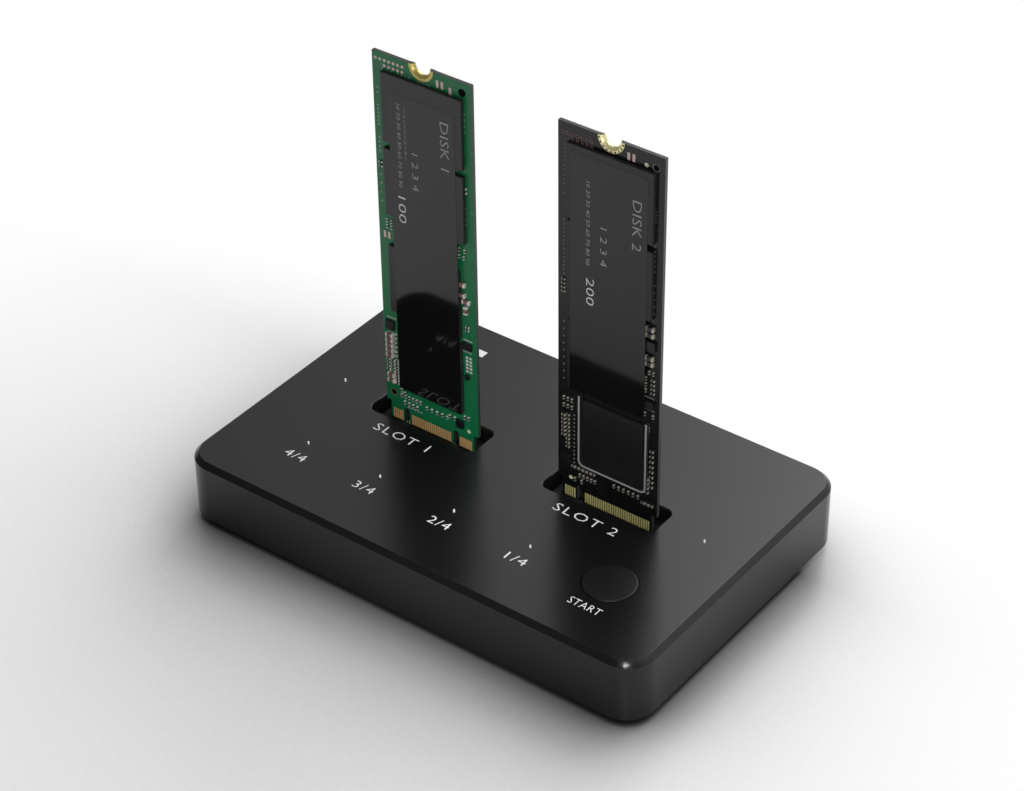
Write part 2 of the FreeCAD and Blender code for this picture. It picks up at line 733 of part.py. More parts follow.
def progress_light_guide():
    """Clear comb: four pins in a row on one bar, each with a post down to its lamp."""
    row, sides = light_places()
    z_low = z_ceiling - GUIDE_BAR_THICKNESS
    length = (LIGHT_COUNT - 1) * light_pitch + GUIDE_BAR_DEPTH
    middle = first_light_x + (LIGHT_COUNT - 1) * light_pitch / 2
    bar = block(length, GUIDE_BAR_DEPTH, z_low, z_ceiling, middle, light_y)
    added = [guide_pin(x, y) for x, y in row]
    added += [guide_post(x, y, z_low) for x, y in row]
    hole = GUIDE_PEG_SIZE + 2 * GUIDE_PIN_GAP
    holes = [block(hole, hole, z_low, z_ceiling, x, y) for x, y in guide_peg_places()]
    return bar.fuse(added).cut(holes).removeSplitter()


def side_light_guide(x, y):
    return fuse_all([guide_pin(x, y), guide_post(x, y, z_ceiling)])


def lamp(x, y):
    z_high = z_board + LAMP_HEIGHT
    body = block(LAMP_LENGTH, LAMP_WIDTH, z_board, z_high, x, y)
    return body.makeChamfer(LAMP_CHAMFER, edges_at_height(body, z_high))


# Data socket

def socket_centre():
    return z_board + SOCKET_STAND + SOCKET_HEIGHT / 2


def socket_reach():
    y_mouth = y_outer - SOCKET_SETBACK
    return y_mouth - SOCKET_LENGTH, y_mouth


def socket_shell():
    y_low, y_mouth = socket_reach()
    z = socket_centre()
    tube = stadium(SOCKET_WIDTH, SOCKET_HEIGHT, y_low, y_mouth, 0, z)
    wall = 2 * SOCKET_WALL
    tube = tube.cut(stadium(SOCKET_WIDTH - wall, SOCKET_HEIGHT - wall, y_low, y_mouth, 0, z))
    y_tab = (y_low + y_board_back) / 2
    tabs = []
    for side in (-1, 1):
        x = side * (SOCKET_WIDTH - SOCKET_WALL) / 2
        tabs.append(block(SOCKET_WALL, SOCKET_BLOCK_LENGTH, z_board, z, x, y_tab))
    return fuse_all([tube] + tabs)


def socket_tongue():
    """Moulded block at the back of the socket with the thin tongue that a plug goes over."""
    y_low, y_mouth = socket_reach()
    z = socket_centre()
    wall = 2 * SOCKET_WALL
    y_block = y_low + SOCKET_BLOCK_LENGTH
    height = SOCKET_HEIGHT - wall
    width = SOCKET_WIDTH - SOCKET_HEIGHT
    back_corner = Vector(-width / 2, y_low, z - height / 2)
    back = Part.makeBox(width, y_block - y_low, height, back_corner)
    corner = Vector(-SOCKET_TONGUE_WIDTH / 2, y_low, z - SOCKET_TONGUE_THICKNESS / 2)
    length = SOCKET_BLOCK_LENGTH + SOCKET_TONGUE_LENGTH
    tongue = Part.makeBox(SOCKET_TONGUE_WIDTH, length, SOCKET_TONGUE_THICKNESS, corner)
    return fuse_all([back, tongue])


# Power jack

def jack_planes():
    y_body_back = y_inner - JACK_FIT_GAP
    return y_body_back - JACK_BODY_LENGTH, y_body_back, y_outer - SOCKET_SETBACK


def jack_centre():
    return (z_cover + z_ceiling) / 2


def jack_body():
    y_low, y_high, y_nose = jack_planes()
    z = jack_centre()
    z_low = z_cover + JACK_FIT_GAP
    z_high = z_ceiling - JACK_FIT_GAP
    y_mid = (y_low + y_high) / 2
    body = block(JACK_WIDTH, JACK_BODY_LENGTH, z_low, z_high, jack_x, y_mid)
    ear_depth = y_board_back - y_low
    ear_y = y_low + ear_depth / 2
    ear_width = JACK_WIDTH + 2 * JACK_EAR_WIDTH
    ears = block(ear_width, ear_depth, z_board, z_board + JACK_EAR_THICKNESS, jack_x, ear_y)
    nose = rod_to_back(JACK_NOSE_RADIUS, y_high, y_nose, jack_x, z)
    bore = rod_to_back(JACK_BORE_RADIUS, y_nose - JACK_BORE_DEPTH, y_nose, jack_x, z)
    groove_low = z - JACK_BORE_RADIUS - JACK_BLADE_THICKNESS
    groove_depth = JACK_BORE_DEPTH - SIDE_WALL
    groove_width = JACK_BLADE_WIDTH + 2 * JACK_BLADE_GAP
    groove_corner = Vector(jack_x - groove_width / 2, y_nose - JACK_BORE_DEPTH, groove_low)
    groove = Part.makeBox(groove_width, groove_depth, JACK_BORE_RADIUS, groove_corner)
    return fuse_all([body, ears, nose]).cut([bore, groove])


def jack_pin():
    y_low, y_high, y_nose = jack_planes()
    y_tip = y_nose - JACK_PIN_SETBACK
    pin = rod_to_back(JACK_PIN_RADIUS, y_nose - JACK_BORE_DEPTH, y_tip, jack_x, jack_centre())
    tip_edges = [edge for edge in pin.Edges if abs(edge.BoundBox.YMin - y_tip) < SAME_PLACE]
    return pin.makeChamfer(JACK_PIN_CHAMFER, tip_edges)


def jack_blade():
    """Sprung contact strip in the floor of the bore."""
    y_low, y_high, y_nose = jack_planes()
    y_start = y_nose - JACK_BORE_DEPTH
    y_end = y_start + JACK_BORE_DEPTH - SIDE_WALL - JACK_BLADE_GAP
    z = jack_centre() - JACK_BORE_RADIUS - JACK_BLADE_THICKNESS / 2
    points = [
        Vector(0, y_start, z),
        Vector(0, y_start + JACK_BLADE_KNEE, z),
        Vector(0, y_start + JACK_BLADE_PEAK, z + JACK_BLADE_LIFT),
        Vector(0, y_end, z),
    ]
    return bent_strip(points, JACK_BLADE_THICKNESS, JACK_BLADE_WIDTH, jack_x)


# Power switch

def power_planes():
    y_body_back = y_inner - POWER_CARRIER_GAP
    return y_body_back - POWER_BODY_DEPTH, y_body_back


def carrier_room():
    width = POWER_BODY_WIDTH - 2 * POWER_CAN_WALL
    return width, POWER_CARRIER_HEIGHT + 2 * POWER_CARRIER_GAP


def switch_base():
    """Insulating base of the slide switch, with the groove its carrier runs in."""
    y_low, y_high = power_planes()
    wall = POWER_CAN_WALL
    z = power_knob_height()
    width, room = carrier_room()
    y_mid = (y_low + y_high) / 2
    z_high = z_board + POWER_BODY_HEIGHT - wall
    base = block(width, POWER_BODY_DEPTH - 2 * wall, z_board, z_high, power_x, y_mid)
    depth = POWER_CARRIER_DEPTH + POWER_CARRIER_GAP
    groove_corner = Vector(power_x - width / 2, y_high - wall - depth, z - room / 2)
    return base.cut(Part.makeBox(width, depth, room, groove_corner))


def switch_can():
    """Pressed metal can over the base, with the window for the knob."""
    y_low, y_high = power_planes()
    wall = POWER_CAN_WALL
    z_high = z_board + POWER_BODY_HEIGHT
    y_mid = (y_low + y_high) / 2
    outer = block(POWER_BODY_WIDTH, POWER_BODY_DEPTH, z_board, z_high, power_x, y_mid)
    room_width = POWER_BODY_WIDTH - 2 * wall
    room_depth = POWER_BODY_DEPTH - 2 * wall
    inner = block(room_width, room_depth, z_board, z_high - wall, power_x, y_mid)
    window_width = POWER_KNOB_WIDTH + POWER_TRAVEL + 2 * POWER_SLOT_GAP
    window_height = POWER_KNOB_HEIGHT + 2 * POWER_SLOT_GAP
    corner = Vector(power_x - window_width / 2, y_high - wall, power_knob_height() - window_height / 2)
    return outer.cut([inner, Part.makeBox(window_width, wall, window_height, corner)])


def power_knob():
    """Knob at the off end of its travel, on the carrier that slides inside the can."""
    y_low, y_high = power_planes()
    x = power_x - POWER_TRAVEL / 2
    z = power_knob_height()
    y_carrier = y_high - POWER_CAN_WALL - POWER_CARRIER_GAP / 2
    width, room = carrier_room()
    carrier_width = width - POWER_TRAVEL - 2 * POWER_CARRIER_GAP
    depth = POWER_CARRIER_DEPTH - POWER_CARRIER_GAP
    carrier_corner = Vector(x - carrier_width / 2, y_carrier - depth, z - POWER_CARRIER_HEIGHT / 2)
    carrier = Part.makeBox(carrier_width, depth, POWER_CARRIER_HEIGHT, carrier_corner)
    knob_corner = Vector(x - POWER_KNOB_WIDTH / 2, y_carrier, z - POWER_KNOB_HEIGHT / 2)
    reach = y_outer - POWER_KNOB_SETBACK - y_carrier
    knob = Part.makeBox(POWER_KNOB_WIDTH, reach, POWER_KNOB_HEIGHT, knob_corner)
    return fuse_all([carrier, knob])


# Parts on the main board

def chip(size, height, x, y):
    body = block(size, size, z_board, z_board + height, x, y)
    return body.makeChamfer(CHIP_CHAMFER, edges_at_height(body, z_board + height))


def coil(x, y):
    z_high = z_board + COIL_HEIGHT
    body = cut_corner_block(COIL_SIZE, COIL_SIZE, COIL_CORNER, z_board, z_high, x, y)
    return body.makeChamfer(COIL_CHAMFER, edges_at_height(body, z_high))


def capacitor(x, y):
    z_high = z_board + CAPACITOR_HEIGHT
    body = block(CAPACITOR_LENGTH, CAPACITOR_WIDTH, z_board, z_high, x, y)
    return body.makeChamfer(CHIP_CHAMFER, edges_at_height(body, z_high))


def crystal(x, y):
    z_high = z_board + CRYSTAL_HEIGHT
    body = block(CRYSTAL_LENGTH, CRYSTAL_WIDTH, z_board, z_high, x, y)
    return body.makeChamfer(CRYSTAL_CHAMFER, edges_at_height(body, z_high))


# Drive cards

def card_board(x, key_places):
    """Circuit board of a card: tongue with shoulders and key notches, half hole at the top."""
    board = block(CARD_WIDTH, CARD_BOARD, z_card_tip, z_card_top, x, y_card)
    shoulder = (CARD_WIDTH - tongue_width) / 2
    removed = []
    for side in (-1, 1):
        cut_x = x + side * (CARD_WIDTH - shoulder) / 2
        removed.append(block(shoulder, CARD_BOARD, z_card_tip, z_card_tip + TONGUE_HEIGHT, cut_x, y_card))
    for key in key_places:
        radius = KEY_WIDTH / 2
        z_round = z_card_tip + KEY_DEPTH - radius
        removed.append(block(KEY_WIDTH, CARD_BOARD, z_card_tip, z_round, x + key, y_card))
        removed.append(rod_to_back(radius, y_card_front, y_card_back, x + key, z_round))
    removed.append(rod_to_back(END_HOLE_RADIUS, y_card_front, y_card_back, x, z_card_top))
    board = board.cut(removed).removeSplitter()
    tip_edges = [edge for edge in edges_at_height(board, z_card_tip) if edge.BoundBox.XLength > CARD_BOARD]
    return board.makeChamfer(TONGUE_BEVEL, tip_edges)


def card_pads(x, key_places, front):
    """Gold contact fingers of one face of the tongue."""
    y_face = y_card_front - PAD_THICKNESS / 2 if front else y_card_back + PAD_THICKNESS / 2
    z_low = z_card_tip + PAD_FROM_TIP
    z_high = z_low + PAD_LENGTH
    places = [x + place for place in row_places(front, key_places)]
    return [block(PAD_WIDTH, PAD_THICKNESS, z_low, z_high, place, y_face) for place in places]


def end_ring(x):
    """Plated half ring round the fixing notch, over both faces and through the edge."""
    y_low = y_card_front - RING_THICKNESS
    y_high = y_card_back + RING_THICKNESS
    disc = rod_to_back(END_RING_RADIUS, y_low, y_high, x, z_card_top)
    between = rod_to_back(END_RING_RADIUS, y_card_front, y_card_back, x, z_card_top)
    core = rod_to_back(END_HOLE_RADIUS, y_card_front, y_card_back, x, z_card_top)
    hole = rod_to_back(END_HOLE_RADIUS - RING_THICKNESS, y_low, y_high, x, z_card_top)
    above = block(2 * CARD_WIDTH, 2 * CARD_WIDTH, z_card_top, z_card_top + CARD_WIDTH, x, y_card)
    return disc.cut([between.cut(core), hole, above])


def face_block(x, left, right, top, height, y_front, thickness):
    """Block on the front of a card, placed from the card's left, right and top edges."""
    width = CARD_WIDTH - left - right
    middle = x + (left - right) / 2
    z_high = z_card_top - top
    return block(width, thickness, z_high - height, z_high, middle, y_front + thickness / 2)


def card_chip(x, left, right, top, height):
    return face_block(x, left, right, top, height, y_chip_front, CHIP_HEIGHT)


def card_label(x, left, right, top, bottom):
    y_front = y_chip_front - LABEL_THICKNESS
    return face_block(x, left, right, top, bottom - top, y_front, LABEL_THICKNESS)


def memory_chips(x):
    tops = (MEMORY_TOP, MEMORY_TOP + MEMORY_STEP)
    return [card_chip(x, MEMORY_LEFT, MEMORY_RIGHT, top, MEMORY_HEIGHT) for top in tops]


def framed_controller(x):
    """Dark chip that stands inside the bright frame with an even gap."""
    margin = FRAME_LINE + FRAME_CHIP_GAP
    height = FRAME_BOTTOM - FRAME_TOP - 2 * margin
    return card_chip(x, FRAME_LEFT + margin, FRAME_RIGHT + margin, FRAME_TOP + margin, height)


def round_lower_corners(shape, radius, z_low):
    low_edges = edges_at_height(shape, z_low)
    return shape.makeFillet(radius, [edge for edge in low_edges if edge.BoundBox.XLength < SAME_PLACE])


def controller_frame(x):
    """Bright raised line round three sides of the controller, with rounded lower corners."""
    height = FRAME_BOTTOM - FRAME_TOP
    outer = card_chip(x, FRAME_LEFT, FRAME_RIGHT, FRAME_TOP, height)
    inner_left = FRAME_LEFT + FRAME_LINE
    inner_right = FRAME_RIGHT + FRAME_LINE
    inner = card_chip(x, inner_left, inner_right, FRAME_TOP, height - FRAME_LINE)
    z_low = z_card_top - FRAME_BOTTOM
    outer = round_lower_corners(outer, FRAME_RADIUS, z_low)
    inner = round_lower_corners(inner, FRAME_RADIUS - FRAME_LINE, z_low + FRAME_LINE)
    return outer.cut(inner)


# Housing pieces
save("top_shell", top_shell())
save("bottom_cover", bottom_cover())
save("rubber_feet", *[post(FOOT_RADIUS, 0, z_floor, x, y) for x, y in corner_places(foot_x, foot_y)])
save("main_board", main_board())

# Two slots: the left one has its rib at the right key, the right one at the left key
for name, x, key_x in (("slot_a", -slot_x, RIGHT_KEY_X), ("slot_b", slot_x, LEFT_KEY_X)):
    save(name + "_connector", connector_body(x, key_x))
    save(name + "_front_contacts", *contact_row(x, key_x, True))
    save(name + "_rear_contacts", *contact_row(x, key_x, False))

# Copy button
save("copy_button_cap", button_cap())
save("copy_switch_body", switch_body())
save("copy_switch_plunger", switch_plunger())
save("copy_switch_dome", switch_dome())
save("copy_switch_legs", *switch_legs())

# Indicator lights
row_lights, side_lights = light_places()
save("progress_light_guide", progress_light_guide())
save("slot_light_guides", *[side_light_guide(x, y) for x, y in side_lights])
save("indicator_lamps", *[lamp(x, y) for x, y in row_lights + side_lights])

# Back wall
save("data_socket_shell", socket_shell())
save("data_socket_tongue", socket_tongue())
save("power_jack_body", jack_body())
save("power_jack_pin", jack_pin())
save("power_jack_blade", jack_blade())
save("power_switch_base", switch_base())
save("power_switch_can", switch_can())
save("power_switch_knob", power_knob())

# Main board parts
save("bridge_chips", *[chip(BRIDGE_SIZE, BRIDGE_HEIGHT, side * slot_x, y_bridge) for side in (-1, 1)])
save("copy_controller_chip", chip(MASTER_SIZE, BRIDGE_HEIGHT, MASTER_X, MASTER_Y))
save("power_coils", *[coil(side * coil_x, coil_y) for side in (-1, 1)])
capacitor_row = (CAPACITOR_X, CAPACITOR_X + CAPACITOR_SPACING)
save("power_capacitors", *[capacitor(x, CAPACITOR_Y) for x in capacitor_row])
save("crystals", *[crystal(side * slot_x, y_crystal) for side in (-1, 1)])


def save_card(name, x, key_places):
    """Everything that the two cards have alike."""
    save(name + "_board", card_board(x, key_places))
    save(name + "_front_pads", *card_pads(x, key_places, True))
    save(name + "_rear_pads", *card_pads(x, key_places, False))
    save(name + "_end_ring", end_ring(x))
    save(name + "_memory_chips", *memory_chips(x))
    save(name + "_cache_chip", card_chip(x, CACHE_LEFT, CACHE_RIGHT, CACHE_TOP, CACHE_HEIGHT))


# Drive card with two key notches, in the left slot
left_x = -slot_x
save_card("drive_a", left_x, [LEFT_KEY_X, RIGHT_KEY_X])
left_controller = card_chip(left_x, CONTROLLER_LEFT, CONTROLLER_RIGHT, CONTROLLER_TOP, CONTROLLER_HEIGHT)
save("drive_a_controller", left_controller)
save("drive_a_label", card_label(left_x, LABEL_LEFT, LABEL_RIGHT, LABEL_TOP, LABEL_BOTTOM))

# Drive card with one key notch, in the right slot
right_x = slot_x
save_card("drive_b", right_x, [LEFT_KEY_X])
save("drive_b_controller", framed_controller(right_x))
save("drive_b_controller_frame", controller_frame(right_x))
right_label = card_label(right_x, DARK_LABEL_LEFT, DARK_LABEL_RIGHT, DARK_LABEL_TOP, DARK_LABEL_BOTTOM)
save("drive_b_label", right_label)
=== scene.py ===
import json
import math

import bpy
from mathutils import Matrix, Vector

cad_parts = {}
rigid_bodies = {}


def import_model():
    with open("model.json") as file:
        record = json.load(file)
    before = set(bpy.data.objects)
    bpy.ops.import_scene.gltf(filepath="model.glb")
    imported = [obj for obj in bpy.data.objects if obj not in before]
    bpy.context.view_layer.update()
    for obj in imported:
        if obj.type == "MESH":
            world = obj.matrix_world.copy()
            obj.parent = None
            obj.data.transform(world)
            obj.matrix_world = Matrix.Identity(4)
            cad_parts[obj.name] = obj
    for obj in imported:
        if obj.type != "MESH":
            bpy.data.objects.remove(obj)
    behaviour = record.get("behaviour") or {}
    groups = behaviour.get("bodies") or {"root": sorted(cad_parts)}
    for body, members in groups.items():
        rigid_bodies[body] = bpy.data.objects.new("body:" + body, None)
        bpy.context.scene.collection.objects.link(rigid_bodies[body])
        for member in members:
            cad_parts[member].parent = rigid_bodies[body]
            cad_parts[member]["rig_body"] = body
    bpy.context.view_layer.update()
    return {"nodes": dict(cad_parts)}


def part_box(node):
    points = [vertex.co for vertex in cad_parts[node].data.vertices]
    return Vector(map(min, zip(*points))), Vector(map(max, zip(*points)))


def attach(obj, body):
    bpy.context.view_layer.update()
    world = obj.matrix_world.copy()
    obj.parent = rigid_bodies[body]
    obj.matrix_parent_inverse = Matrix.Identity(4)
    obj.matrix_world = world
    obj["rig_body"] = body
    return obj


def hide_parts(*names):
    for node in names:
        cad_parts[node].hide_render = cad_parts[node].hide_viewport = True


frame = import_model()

bl_info = {
    "name": "Drive Duplicator",
    "version": (1, 0, 0),
    "blender": (4, 5, 0),
    "location": "3D View > Sidebar > Duplicator",
    "description": "Twin-slot drive duplicator with two drive cards standing in it",
    "category": "Add Mesh",
}

MM = 0.001
NODES = frame["nodes"]
SHELL_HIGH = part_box("top_shell")[1]
TOP = SHELL_HIGH.z
CARDS = ("drive_a", "drive_b")

# How a copy of a CAD node is cleaned and rounded
MERGE_DISTANCE = 0.001 * MM
FLAT_ANGLE = math.radians(0.2)
SHARP_ANGLE = math.radians(32.0)
ROUNDING_SEGMENTS = 2

# How nearly a face has to look along an axis, and how far a point may be from a rim
FACING = 0.9
RIM_REACH = 0.02 * MM

# Housing and labels
TIP_TAPER = 0.62
LABEL_PRESSED = 0.07 * MM
LABEL_INK_DEPTH = 0.02 * MM
CAPITAL_SHARE = 0.69

# The end notch of a card and the plated half-moon in it
NOTCH_RADIUS = 1.75 * MM
RING_BORE = 1.7 * MM
NOTCH_DISH = 0.47 * MM
RING_DISH = 0.5 * MM
RING_EDGE = 0.02 * MM

# Small parts, as shares of their own length, height or radius
SOLDER_START = 0.27
PART_BEVEL = 0.08
PAD_BEVEL = 0.6
PAD_SUNK = 0.7
PAD_SIDES = 12

# The camera, fitted to the photograph's angle
CAMERA_PLACE = Vector((254.227, -333.394, 340.401)) * MM
CAMERA_WAY = Vector((-0.48683, 0.640215, -0.59424))
CAMERA_ROLL = math.radians(-0.734)


# Modelling helpers

def choose(*pieces):
    """Selects these pieces alone, and makes the first one active."""
    bpy.ops.object.select_all(action="DESELECT")
    for piece in pieces:
        piece.select_set(True)
    bpy.context.view_layer.objects.active = pieces[0]


def edit_all(piece):
    """Goes to edit mode with all of a piece selected."""
    choose(piece)
    bpy.ops.object.mode_set(mode="EDIT")
    bpy.ops.mesh.select_all(action="SELECT")


def leave_edit():
    """Goes back to object mode."""
    bpy.ops.object.mode_set(mode="OBJECT")


def pick(piece, kind, test):
    """Goes to edit mode with only the faces or edges selected that pass the test."""
    choose(piece)
    bpy.ops.object.mode_set(mode="EDIT")
    bpy.ops.mesh.select_mode(type=kind)
    bpy.ops.mesh.select_all(action="DESELECT")
    leave_edit()
    for part in piece.data.polygons if kind == "FACE" else piece.data.edges:
        part.select = bool(test(part))
    bpy.ops.object.mode_set(mode="EDIT")


def named(piece, name):
    """Gives a piece and its mesh one name."""
    piece.name = name
    piece.data.name = name
    return piece


def settle(piece, name):
    """Names a piece and moves its place, turn and scale into its mesh."""
    choose(piece)
    bpy.ops.object.transform_apply(location=True, rotation=True, scale=True)
    return named(piece, name)


def block(name, low, high, edge):
    """A box between two corners with its edges bevelled."""
    low, high = Vector(low), Vector(high)
    bpy.ops.object.select_all(action="DESELECT")
    bpy.ops.mesh.primitive_cube_add(size=1.0, location=(low + high) / 2, scale=high - low)
    piece = settle(bpy.context.active_object, name)
    edit_all(piece)
    bpy.ops.mesh.bevel(offset=edge, segments=1, affect="EDGES")
    leave_edit()
    return piece


def merged_copy(node, name):
    """A copy of a CAD node with its loose triangles merged, which stands for the node."""
    source = NODES[node]
    piece = bpy.data.objects.new(name, source.data.copy())
    bpy.context.collection.objects.link(piece)
    piece.data.name = name
    edit_all(piece)
    bpy.ops.mesh.remove_doubles(threshold=MERGE_DISTANCE)
    bpy.ops.mesh.dissolve_limited(angle_limit=FLAT_ANGLE, delimit={"NORMAL"})
    bpy.ops.mesh.customdata_custom_splitnormals_clear()
    leave_edit()
    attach(piece, source["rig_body"])
    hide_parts(node)
    return piece


def rounded(piece, edge):
    """Rounds the sharp edges of a piece and smooths it."""
    choose(piece)
    rounding = piece.modifiers.new("rounding", "BEVEL")
    rounding.width = edge
    rounding.segments = ROUNDING_SEGMENTS
    rounding.limit_method = "ANGLE"
    rounding.angle_limit = SHARP_ANGLE
    rounding.use_clamp_overlap = True
    rounding.harden_normals = False
    bpy.ops.object.modifier_apply(modifier="rounding")
    bpy.ops.object.shade_smooth_by_angle(angle=SHARP_ANGLE)
    weighted = piece.modifiers.new("weighted", "WEIGHTED_NORMAL")
    weighted.keep_sharp = True
    bpy.ops.object.modifier_apply(modifier="weighted")
    return piece


def dished(piece, centre, radius, depth, width):
    """Chamfers the rim of a round notch, on the plane y = depth."""
    def on_rim(edge):
        ends = [piece.data.vertices[index].co for index in edge.vertices]
        return all(
            abs((end - centre).xz.length - radius) < RIM_REACH
            and abs(end.y - depth) < RIM_REACH / 2
            for end in ends
        )
    pick(piece, "EDGE", on_rim)
    bpy.ops.mesh.bevel(offset=width, offset_type="OFFSET", segments=1, affect="EDGES")
    leave_edit()


def stamped(name, pattern, places):
    """One modelled part at many places, each copy with its own mesh, joined into one piece."""
    copies = []
    for place in places:
        copy = pattern.copy()
        copy.data = pattern.data.copy()
        copy.data.transform(place)
        bpy.context.collection.objects.link(copy)
        copies.append(copy)
    bpy.data.objects.remove(pattern)
    return joined(name, copies)


def joined(name, pieces):
    """Several pieces made one."""
    choose(*pieces)
    if len(pieces) > 1:
        bpy.ops.object.join()
    return named(bpy.context.active_object, name)


def lettering(text, size, span, place, turn, depth, spacing=1.0, thin=0.012):
    """Text made a thin solid mesh from its left end.

    size is the height of its capitals, span its length, and thin how much slimmer its strokes are.
    """
    bpy.ops.object.select_all(action="DESELECT")
    bpy.ops.object.text_add(location=(0.0, 0.0, 0.0))
    words = bpy.context.active_object
    words.data.body = text
    words.data.size = size / CAPITAL_SHARE
    words.data.align_y = "BOTTOM_BASELINE"
    words.data.resolution_u = 2
    words.data.extrude = depth / 2
    words.data.offset = -thin * size
    words.data.space_character = spacing
    choose(words)
    bpy.ops.object.convert(target="MESH")
    words = bpy.context.active_object
    ends = [corner[0] for corner in words.bound_box]
    left, natural = min(ends), max(ends) - min(ends)
    words.data.transform(Matrix.Translation((-left, 0.0, depth / 2)))
    words.data.transform(Matrix.Diagonal((span / natural, 1.0, 1.0, 1.0)))
    words.data.transform(Matrix.Translation(place) @ turn)
    edit_all(words)
    bpy.ops.mesh.remove_doubles(threshold=MERGE_DISTANCE)
    leave_edit()
    return words


def finished(piece, finish):
    """Gives a piece one finish all over."""
    piece.data.materials.clear()
    piece.data.materials.append(finish_of(finish))


def finish_node(node, finish):
    """Gives a CAD node its finish."""
    mesh = NODES[node].data
    for index in range(len(mesh.materials)):
        mesh.materials[index] = finish_of(finish)


def dressed(piece, edge, finish, sides=None):
    """Rounds a copy of a CAD node, and gives it its finish.

    sides is another finish, for the faces that don't look to the front or the back.
    """
    finished(rounded(piece, edge), finish)
    if sides:
        piece.data.materials.append(finish_of(sides))
        for face in piece.data.polygons:
            face.material_index = int(abs(face.normal.y) < 0.5)


def placed(piece, body, finish=None):
    """Gives a piece its body and, where a finish is named, that finish."""
    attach(piece, body)
    if finish:
        finished(piece, finish)


# Shader helpers

def maths_method(operation, reflected=False):
    """A method for one of Python's operators, which adds a Math node."""
    def method(self, other):
        first, second = (other, self) if reflected else (self, other)
        return self.maths(operation, first, second)
    return method


class Wire:
    """A shader socket. Python's own operators on it add Math nodes."""

    def __init__(self, wiring, socket):
        self.wiring = wiring
        self.socket = socket

    def maths(self, operation, *values, clamp=False):
        settings = {"operation": operation, "use_clamp": clamp}
        return self.wiring.node("ShaderNodeMath", settings, dict(enumerate(values)))[0]

    __add__ = maths_method("ADD")
    __radd__ = maths_method("ADD", reflected=True)
    __sub__ = maths_method("SUBTRACT")
    __rsub__ = maths_method("SUBTRACT", reflected=True)
    __mul__ = maths_method("MULTIPLY")
    __rmul__ = maths_method("MULTIPLY", reflected=True)
    __truediv__ = maths_method("DIVIDE")
    __rtruediv__ = maths_method("DIVIDE", reflected=True)
    __pow__ = maths_method("POWER")
    __gt__ = maths_method("GREATER_THAN")
    __lt__ = maths_method("LESS_THAN")

    def __abs__(self):
        return self.maths("ABSOLUTE", self)

    def clamped(self):
        return self.maths("ADD", self, 0.0, clamp=True)

    def fraction(self):
        return self.maths("FRACT", self)

    def at_least(self, low):
        return self.maths("MAXIMUM", self, low)

    def step(self, low, high):
        """0 below low, 1 above high, straight between."""
        return self.maths("DIVIDE", self - low, high - low, clamp=True)


class Made:
    """A node that has been made. made[key] is one of its output sockets as a Wire."""

    def __init__(self, wiring, node):
        self.wiring = wiring
        self.node = node

    def __getitem__(self, key):
        return Wire(self.wiring, self.node.outputs[key])


class Wiring:
    """Adds nodes to one node tree."""

    def __init__(self, tree):
        self.tree = tree

    def feed(self, socket, value):
        if isinstance(value, Wire):
            self.tree.links.new(value.socket, socket)
        else:
            socket.default_value = value

    def node(self, kind, settings=None, sockets=None):
        """A node of that type: its settings first, then the values or links of its sockets."""
        node = self.tree.nodes.new(kind)
        for name, value in (settings or {}).items():
            setattr(node, name, value)
        for key, value in (sockets or {}).items():
            self.feed(node.inputs[key], value)
        return Made(self, node)

    def coordinates(self):
        """Object coordinates."""
        return self.node("ShaderNodeTexCoord")["Object"]

    def place(self):
        """The x, y and z of Object coordinates."""
        parts = self.node("ShaderNodeSeparateXYZ", None, {0: self.coordinates()})
        return parts[0], parts[1], parts[2]

    def noise(self, scale, detail=2.0, roughness=0.5, vector=None):
        """Noise on Object coordinates, about 0.5 in the middle."""
        return self.node(
            "ShaderNodeTexNoise", {"noise_dimensions": "3D"},
            {
                "Vector": vector or self.coordinates(),
                "Scale": scale, "Detail": detail, "Roughness": roughness,
            },
        )["Fac"]

    def mix(self, factor, first, second):
        """A colour between two colours."""
        sockets = {0: factor, 6: first, 7: second}
        return self.node("ShaderNodeMix", {"data_type": "RGBA"}, sockets)[2]


class Finish(Wiring):
    """One procedural material on a Principled shader."""

    def __init__(self, name, **constants):
        self.material = bpy.data.materials.new(name)
        self.material.use_nodes = True
        super().__init__(self.material.node_tree)
        self.shader = self.tree.nodes["Principled BSDF"]
        for key, value in constants.items():
            self.shader.inputs[key.replace("_", " ")].default_value = value

    def surface(self, colour, roughness, height=None, depth=0.0):
        """Feeds the shader, and a Bump of that height and depth in metres."""
        self.feed(self.shader.inputs["Base Color"], colour)
        self.feed(self.shader.inputs["Roughness"], roughness)
        if height is not None:
            sockets = {"Strength": 1.0, "Distance": depth, "Height": height}
            bump = self.node("ShaderNodeBump", None, sockets)
            self.feed(self.shader.inputs["Normal"], bump["Normal"])
        return self.material


def rgba(colour):
    """A colour of three numbers with full alpha."""
    return (*colour, 1.0)


def lighter(colour, factor):
    """A colour times a number, with full alpha."""
    return rgba(min(1.0, channel * factor) for channel in colour)


# Materials

